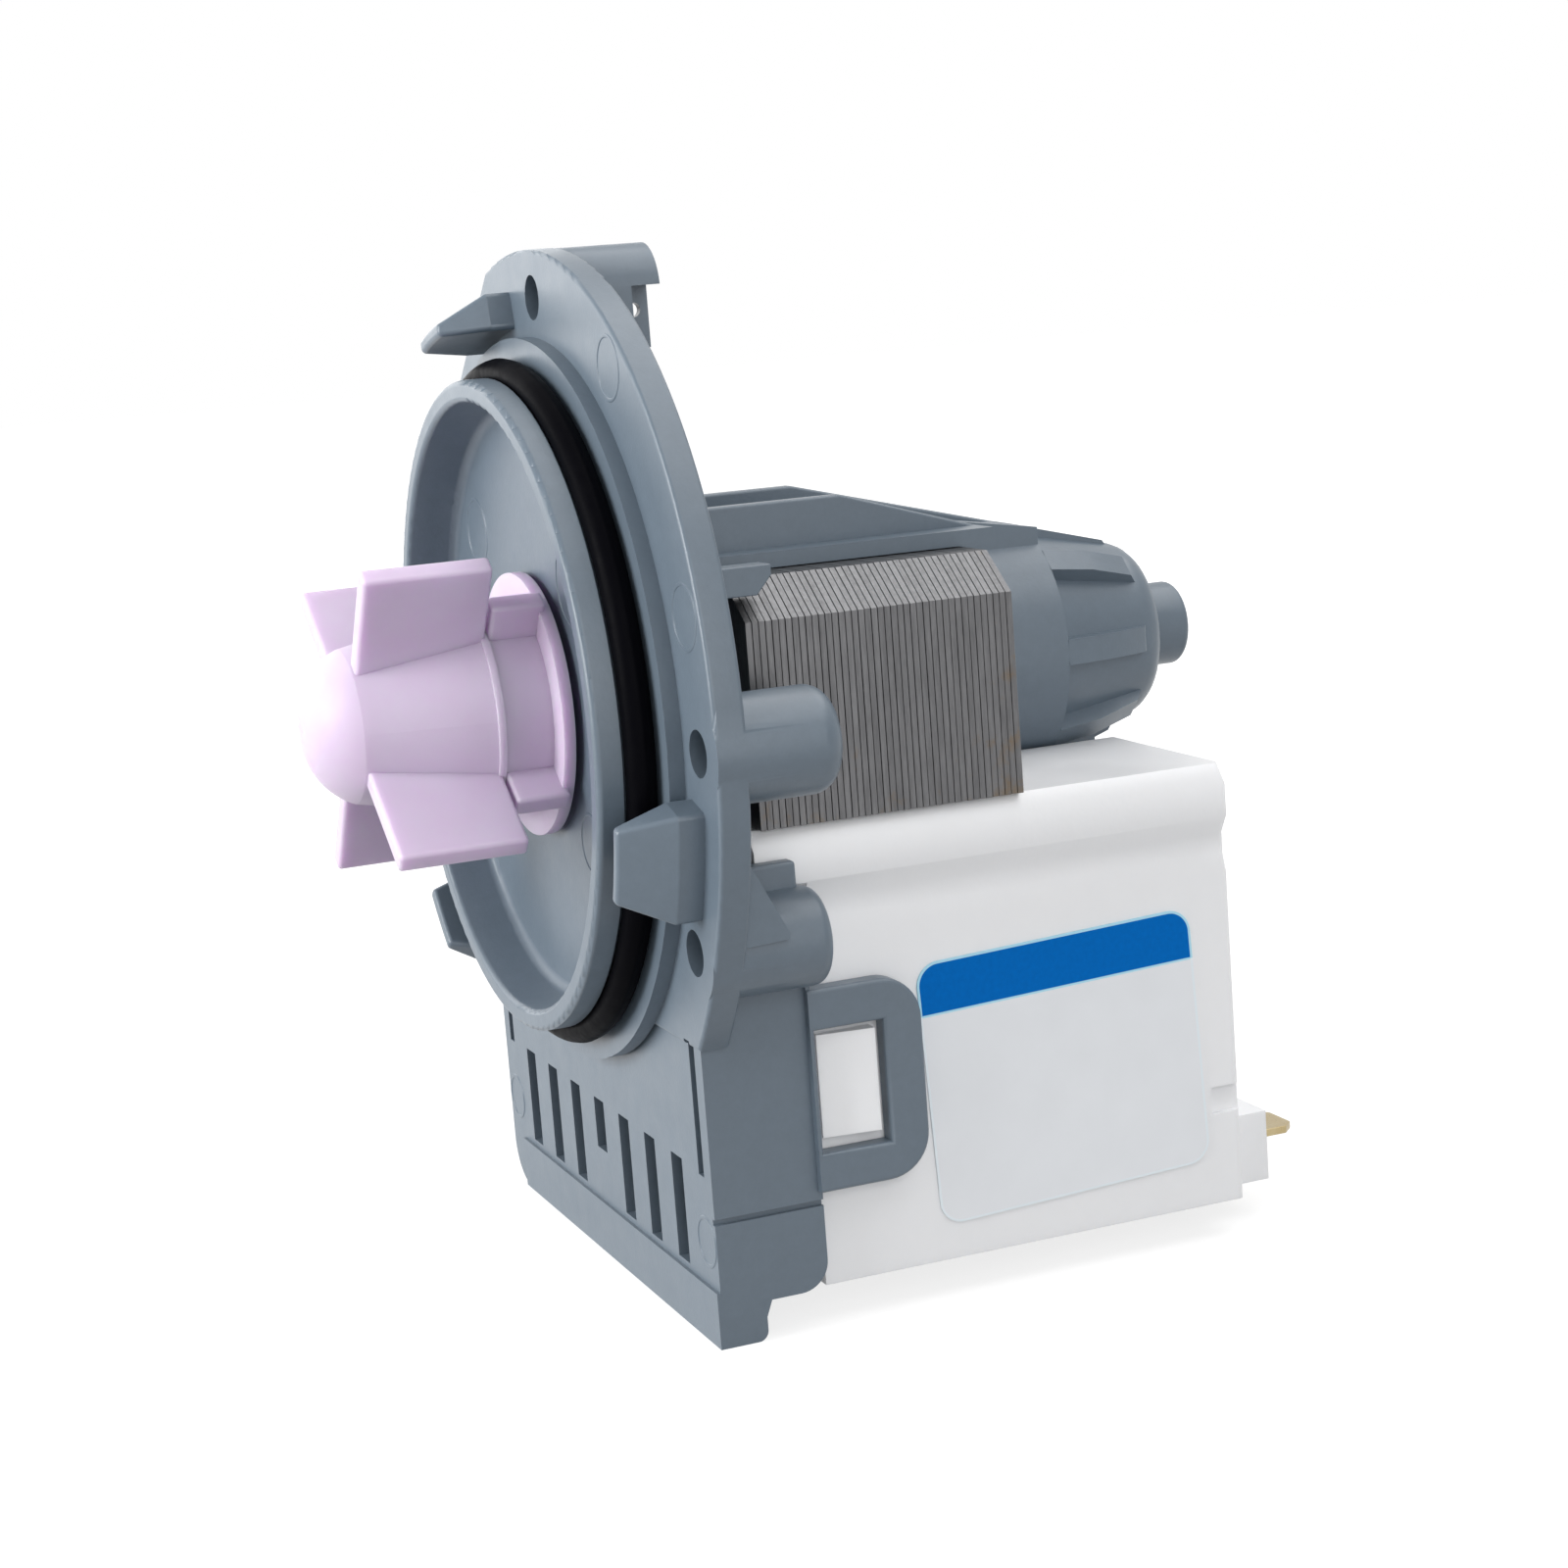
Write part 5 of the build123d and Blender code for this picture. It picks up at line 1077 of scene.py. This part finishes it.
@dataclass
class PoleSheets(SubAssembly):
    """The punched sheets of one pole core, cut from its packed outline."""

    side: str = "right"
    start: float = 8.2
    pitch: float = 0.65
    count: int = 41
    gap: float = 0.045
    burr: float = 0.03
    stray: float = 0.015
    across_step: float = 2.4
    up_step: float = 3.9
    corner_degrees: float = 60.0
    shade_degrees: float = 25.0

    def first_sheet(self) -> Piece:
        """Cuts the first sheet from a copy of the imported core.

        Returns:
            The sheet, closed on both faces, with its rim softened.
        """
        sheet = merged_copy("pole_core_" + self.side, "sheet_" + self.side)
        bpy.ops.object.mode_set(mode="EDIT")
        bpy.ops.mesh.select_all(action="SELECT")
        rear = (self.start + self.pitch - self.gap) * MM
        bpy.ops.mesh.bisect(plane_co=(0.0, rear, 0.0), plane_no=(0.0, 1.0, 0.0),
                            use_fill=True, clear_inner=False, clear_outer=True)
        bpy.ops.object.mode_set(mode="OBJECT")
        rim = sheet.modifiers.new("rim", "BEVEL")
        rim.limit_method = "ANGLE"
        rim.angle_limit = math.radians(self.corner_degrees)
        rim.width = self.burr * MM
        rim.segments = 1
        apply_modifiers(sheet)
        return sheet

    def build(self) -> None:
        """Stacks the sheets, each a hair out of line with the next."""
        first = self.first_sheet()
        sheets = [first]
        for number in range(1, self.count):
            sheet = bpy.data.objects.new(first.name, first.data.copy())
            bpy.context.scene.collection.objects.link(sheet)
            across = self.stray * math.sin(number * self.across_step + len(self.side))
            up = self.stray * math.sin(number * self.up_step)
            sheet.data.transform(Matrix.Translation((across * MM, number * self.pitch * MM, up * MM)))
            sheets.append(sheet)
        bpy.ops.object.select_all(action="DESELECT")
        for sheet in sheets:
            sheet.select_set(True)
        bpy.context.view_layer.objects.active = first
        bpy.ops.object.join()
        first.name = "pole_sheets_" + self.side
        smooth(first, self.shade_degrees)
        finish_piece(first, HOUSING, self.finishes["sheet_steel"])
        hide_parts("pole_core_" + self.side)


@dataclass
class CoilBox(SubAssembly):
    """The white coil housing with its label and blade terminals."""

    round_width: float = 0.45
    round_longer: float = 0.9
    shade_degrees: float = 43.0
    blade_width: float = 0.12
    blade_longer: float = 0.5
    blade_shade_degrees: float = 30.0

    def build(self) -> None:
        """Builds the softened housing and blades and dresses the label."""
        shell = merged_copy("coil_housing", "coil_box")
        soften(shell, self.round_width, longer=self.round_longer)
        smooth(shell, self.shade_degrees)
        finish_piece(shell, HOUSING, self.finishes["white_plastic"])
        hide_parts("coil_housing")
        for side in ("right", "left"):
            blade = merged_copy("terminal_" + side, "blade_" + side)
            soften(blade, self.blade_width, longer=self.blade_longer)
            smooth(blade, self.blade_shade_degrees)
            finish_piece(blade, HOUSING, self.finishes["brass_blade"])
            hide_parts("terminal_" + side)
        dress("rating_label", self.finishes["label_film"])


@dataclass
class Wheel(SubAssembly):
    """The lilac impeller with its rear cover and the gate mark on its nose."""

    tip_y: float = -25.8
    mark_radius: float = 1.25
    mark_line: float = 0.2

    def build(self) -> None:
        """Dresses the impeller and rings its nose."""
        lilac = self.finishes["lilac_plastic"]
        dress("impeller", lilac)
        dress("hub_cover", lilac)
        mark = RingMark(0.0, 0.0, self.tip_y + self.mark_line, self.mark_radius, self.mark_line,
                        self.mark_line).build("gate_mark")
        finish_piece(mark, IMPELLER_UNIT, lilac)


@dataclass
class Works(SubAssembly):
    """The pieces inside: rotor, bearings, seals, bobbins and wiring."""

    slots: ClassVar[dict[str, str]] = {
        "bearing_holder": "grey_plastic",
        "shaft_seal": "soft_rubber",
        "front_bearing": "bearing_bronze",
        "rear_bearing": "bearing_bronze",
        "front_bearing_cushion": "soft_rubber",
        "rear_bearing_cushion": "soft_rubber",
        "front_thrust_washer": "washer_plastic",
        "rear_thrust_washer": "washer_plastic",
        "shaft": "shaft_steel",
        "rotor_magnet": "ferrite",
        "rotor_sleeve": "sleeve_plastic",
        "drive_dog": "sleeve_plastic",
        "coupling_damper": "soft_rubber",
        "yoke_core": "sheet_steel",
        "coil_bobbin_right": "bobbin_plastic",
        "coil_bobbin_left": "bobbin_plastic",
        "winding_right": "copper_wire",
        "winding_left": "copper_wire",
        "coil_lead_right": "lead_insulation",
        "coil_lead_left": "lead_insulation",
        "coil_link_wire": "lead_insulation",
        "thermal_cutout": "cutout_case",
    }

    def build(self) -> None:
        """Dresses each inner piece."""
        for node, slot in self.slots.items():
            dress(node, self.finishes[slot])


@dataclass(frozen=True)
class Lamp:
    """A soft rectangular lamp that looks at the pump."""

    name: str
    toward: tuple[float, float, float]
    strength: float
    distance: float = 0.8
    size: float = 0.45
    height: float = 0.45
    colour: Colour = (1.0, 1.0, 1.0)

    def build(self, aim: Vector) -> None:
        """Hangs the lamp.

        Args:
            aim: The point that it looks at.
        """
        way = Vector(self.toward).normalized()
        light = bpy.data.lights.new(self.name, "AREA")
        light.shape = "RECTANGLE"
        light.size = self.size
        light.size_y = self.height
        light.color = self.colour
        light.energy = self.strength * math.pi ** 2 * self.distance ** 2
        lamp = bpy.data.objects.new(self.name, light)
        lamp.location = aim + way * self.distance
        lamp.rotation_mode = "QUATERNION"
        lamp.rotation_quaternion = way.to_track_quat("Z", "Y")
        bpy.context.scene.collection.objects.link(lamp)


@dataclass
class Studio:
    """A pale floor, soft lamps and a white surrounding."""

    aim: tuple[float, float, float] = (1.0, 22.0, -10.0)
    floor_half: float = 3.0
    floor_albedo: float = 0.34
    seen_albedo: float = 0.3
    near_glow: float = 0.78
    far_glow: float = 1.0
    near: float = 0.12
    far: float = 0.5
    sky: float = 0.25
    lamps: tuple[Lamp, ...] = (
        Lamp("key", (-0.02, -0.93, 0.3), 1.25, size=0.5, height=0.5),
        Lamp("side", (-0.92, -0.36, 0.3), 0.4, distance=0.6, size=0.9, height=0.36),
        Lamp("fill", (0.85, -0.05, 0.25), 0.44, size=0.6, height=0.6),
        Lamp("top", (0.08, 0.36, 0.86), 0.92, size=1.1, height=0.7),
    )

    def seen(self, tree: bpy.types.NodeTree) -> Socket:
        """Adds the test whether a ray comes from the camera or by a mirror or glass.

        Args:
            tree: The node tree.

        Returns:
            A socket that is 1 for such rays.
        """
        path = tree.nodes.new("ShaderNodeLightPath")
        total: Socket = path.outputs["Is Camera Ray"]
        for name in ("Is Glossy Ray", "Is Transmission Ray"):
            larger = tree.nodes.new("ShaderNodeMath")
            larger.operation = "MAXIMUM"
            tree.links.new(total, larger.inputs[0])
            tree.links.new(path.outputs[name], larger.inputs[1])
            total = larger.outputs[0]
        return total

    def either(self, tree: bpy.types.NodeTree, lit: Socket, shown: Socket, target: Socket) -> None:
        """Wires one shader for the light on the pump and another for what is seen.

        Args:
            tree: The node tree.
            lit: The shader that lights the pump.
            shown: The shader that is seen.
            target: The output's Surface socket.
        """
        choice = tree.nodes.new("ShaderNodeMixShader")
        tree.links.new(self.seen(tree), choice.inputs[0])
        tree.links.new(lit, choice.inputs[1])
        tree.links.new(shown, choice.inputs[2])
        tree.links.new(choice.outputs[0], target)

    def floor(self) -> None:
        """Lays the floor under the pump's feet."""
        bpy.ops.object.select_all(action="DESELECT")
        bpy.ops.mesh.primitive_plane_add(size=2 * self.floor_half, location=(0.0, 0.0, CAD_BOX[0].z))
        floor = bpy.context.object
        floor.name = "floor"
        settle(floor)
        material = bpy.data.materials.new("floor")
        material.use_nodes = True
        tree = material.node_tree
        tree.nodes.clear()
        matt, plain = (tree.nodes.new("ShaderNodeBsdfDiffuse") for _ in range(2))
        matt.inputs["Color"].default_value = (self.floor_albedo,) * 3 + (1.0,)
        plain.inputs["Color"].default_value = (self.seen_albedo,) * 3 + (1.0,)
        glow = tree.nodes.new("ShaderNodeEmission")
        away = tree.nodes.new("ShaderNodeVectorMath")
        away.operation = "LENGTH"
        rising = tree.nodes.new("ShaderNodeMapRange")
        for number, amount in enumerate((self.near, self.far, self.near_glow, self.far_glow), start=1):
            rising.inputs[number].default_value = amount
        tree.links.new(tree.nodes.new("ShaderNodeTexCoord").outputs["Object"], away.inputs[0])
        tree.links.new(away.outputs["Value"], rising.inputs[0])
        tree.links.new(rising.outputs[0], glow.inputs["Strength"])
        both = tree.nodes.new("ShaderNodeAddShader")
        output = tree.nodes.new("ShaderNodeOutputMaterial")
        tree.links.new(plain.outputs[0], both.inputs[0])
        tree.links.new(glow.outputs[0], both.inputs[1])
        self.either(tree, matt.outputs[0], both.outputs[0], output.inputs["Surface"])
        floor.data.materials.append(material)

    def surrounding(self) -> None:
        """Sets the sky: plain light for the pump, white where it is seen."""
        world = bpy.data.worlds.new("studio")
        bpy.context.scene.world = world
        world.use_nodes = True
        tree = world.node_tree
        tree.nodes.clear()
        light, white = (tree.nodes.new("ShaderNodeBackground") for _ in range(2))
        for background, strength in ((light, self.sky), (white, 1.0)):
            background.inputs["Color"].default_value = WHITE
            background.inputs["Strength"].default_value = strength
        output = tree.nodes.new("ShaderNodeOutputWorld")
        self.either(tree, light.outputs[0], white.outputs[0], output.inputs["Surface"])

    def build(self) -> None:
        """Builds the studio."""
        self.floor()
        self.surrounding()
        for lamp in self.lamps:
            lamp.build(Vector(self.aim) * MM)
        bpy.context.scene.view_settings.view_transform = "Standard"


@dataclass
class PhotoCamera:
    """The camera at the photograph's viewing angle."""

    azimuth: float = 68.68
    elevation: float = 9.68
    roll: float = -4.37
    distance: float = 302.0
    target: tuple[float, float, float] = (1.08, 22.72, -11.38)
    focal_px: float = 3022.0
    image_px: float = 1600.0
    sensor: float = 36.0
    nearest: float = 10.0

    def build(self) -> None:
        """Sets up the camera."""
        turn, rise, roll = (math.radians(angle) for angle in (self.azimuth, self.elevation, self.roll))
        back = Vector((math.sin(turn) * math.cos(rise), -math.cos(turn) * math.cos(rise), math.sin(rise)))
        level = Vector((math.cos(turn), math.sin(turn), 0.0))
        upright = back.cross(level)
        right = math.cos(roll) * level + math.sin(roll) * upright
        up = math.cos(roll) * upright - math.sin(roll) * level
        data = bpy.data.cameras.new("photo_camera")
        data.sensor_width = self.sensor
        data.lens = self.focal_px / self.image_px * self.sensor
        data.clip_start = self.nearest * MM
        camera = bpy.data.objects.new("photo_camera", data)
        bpy.context.scene.collection.objects.link(camera)
        place = Matrix((right, up, back)).transposed().to_4x4()
        place.translation = (Vector(self.target) + back * self.distance) * MM
        camera.matrix_world = place
        bpy.context.scene.camera = camera


def main() -> None:
    """Builds the camera, the studio and the pump."""
    logging.basicConfig(level=logging.INFO, format="%(name)s %(message)s")
    PhotoCamera().build()
    Studio().build()
    finishes = Finishes().make()
    groups: list[SubAssembly] = [
        FrontBody(finishes),
        SealingRing(finishes),
        PoleSheets(finishes, side="right"),
        PoleSheets(finishes, side="left"),
        CoilBox(finishes),
        Wheel(finishes),
        Works(finishes),
    ]
    for group in groups:
        log.info("building %s", type(group).__name__)
        group.build()


if __name__ == "__main__":
    main()
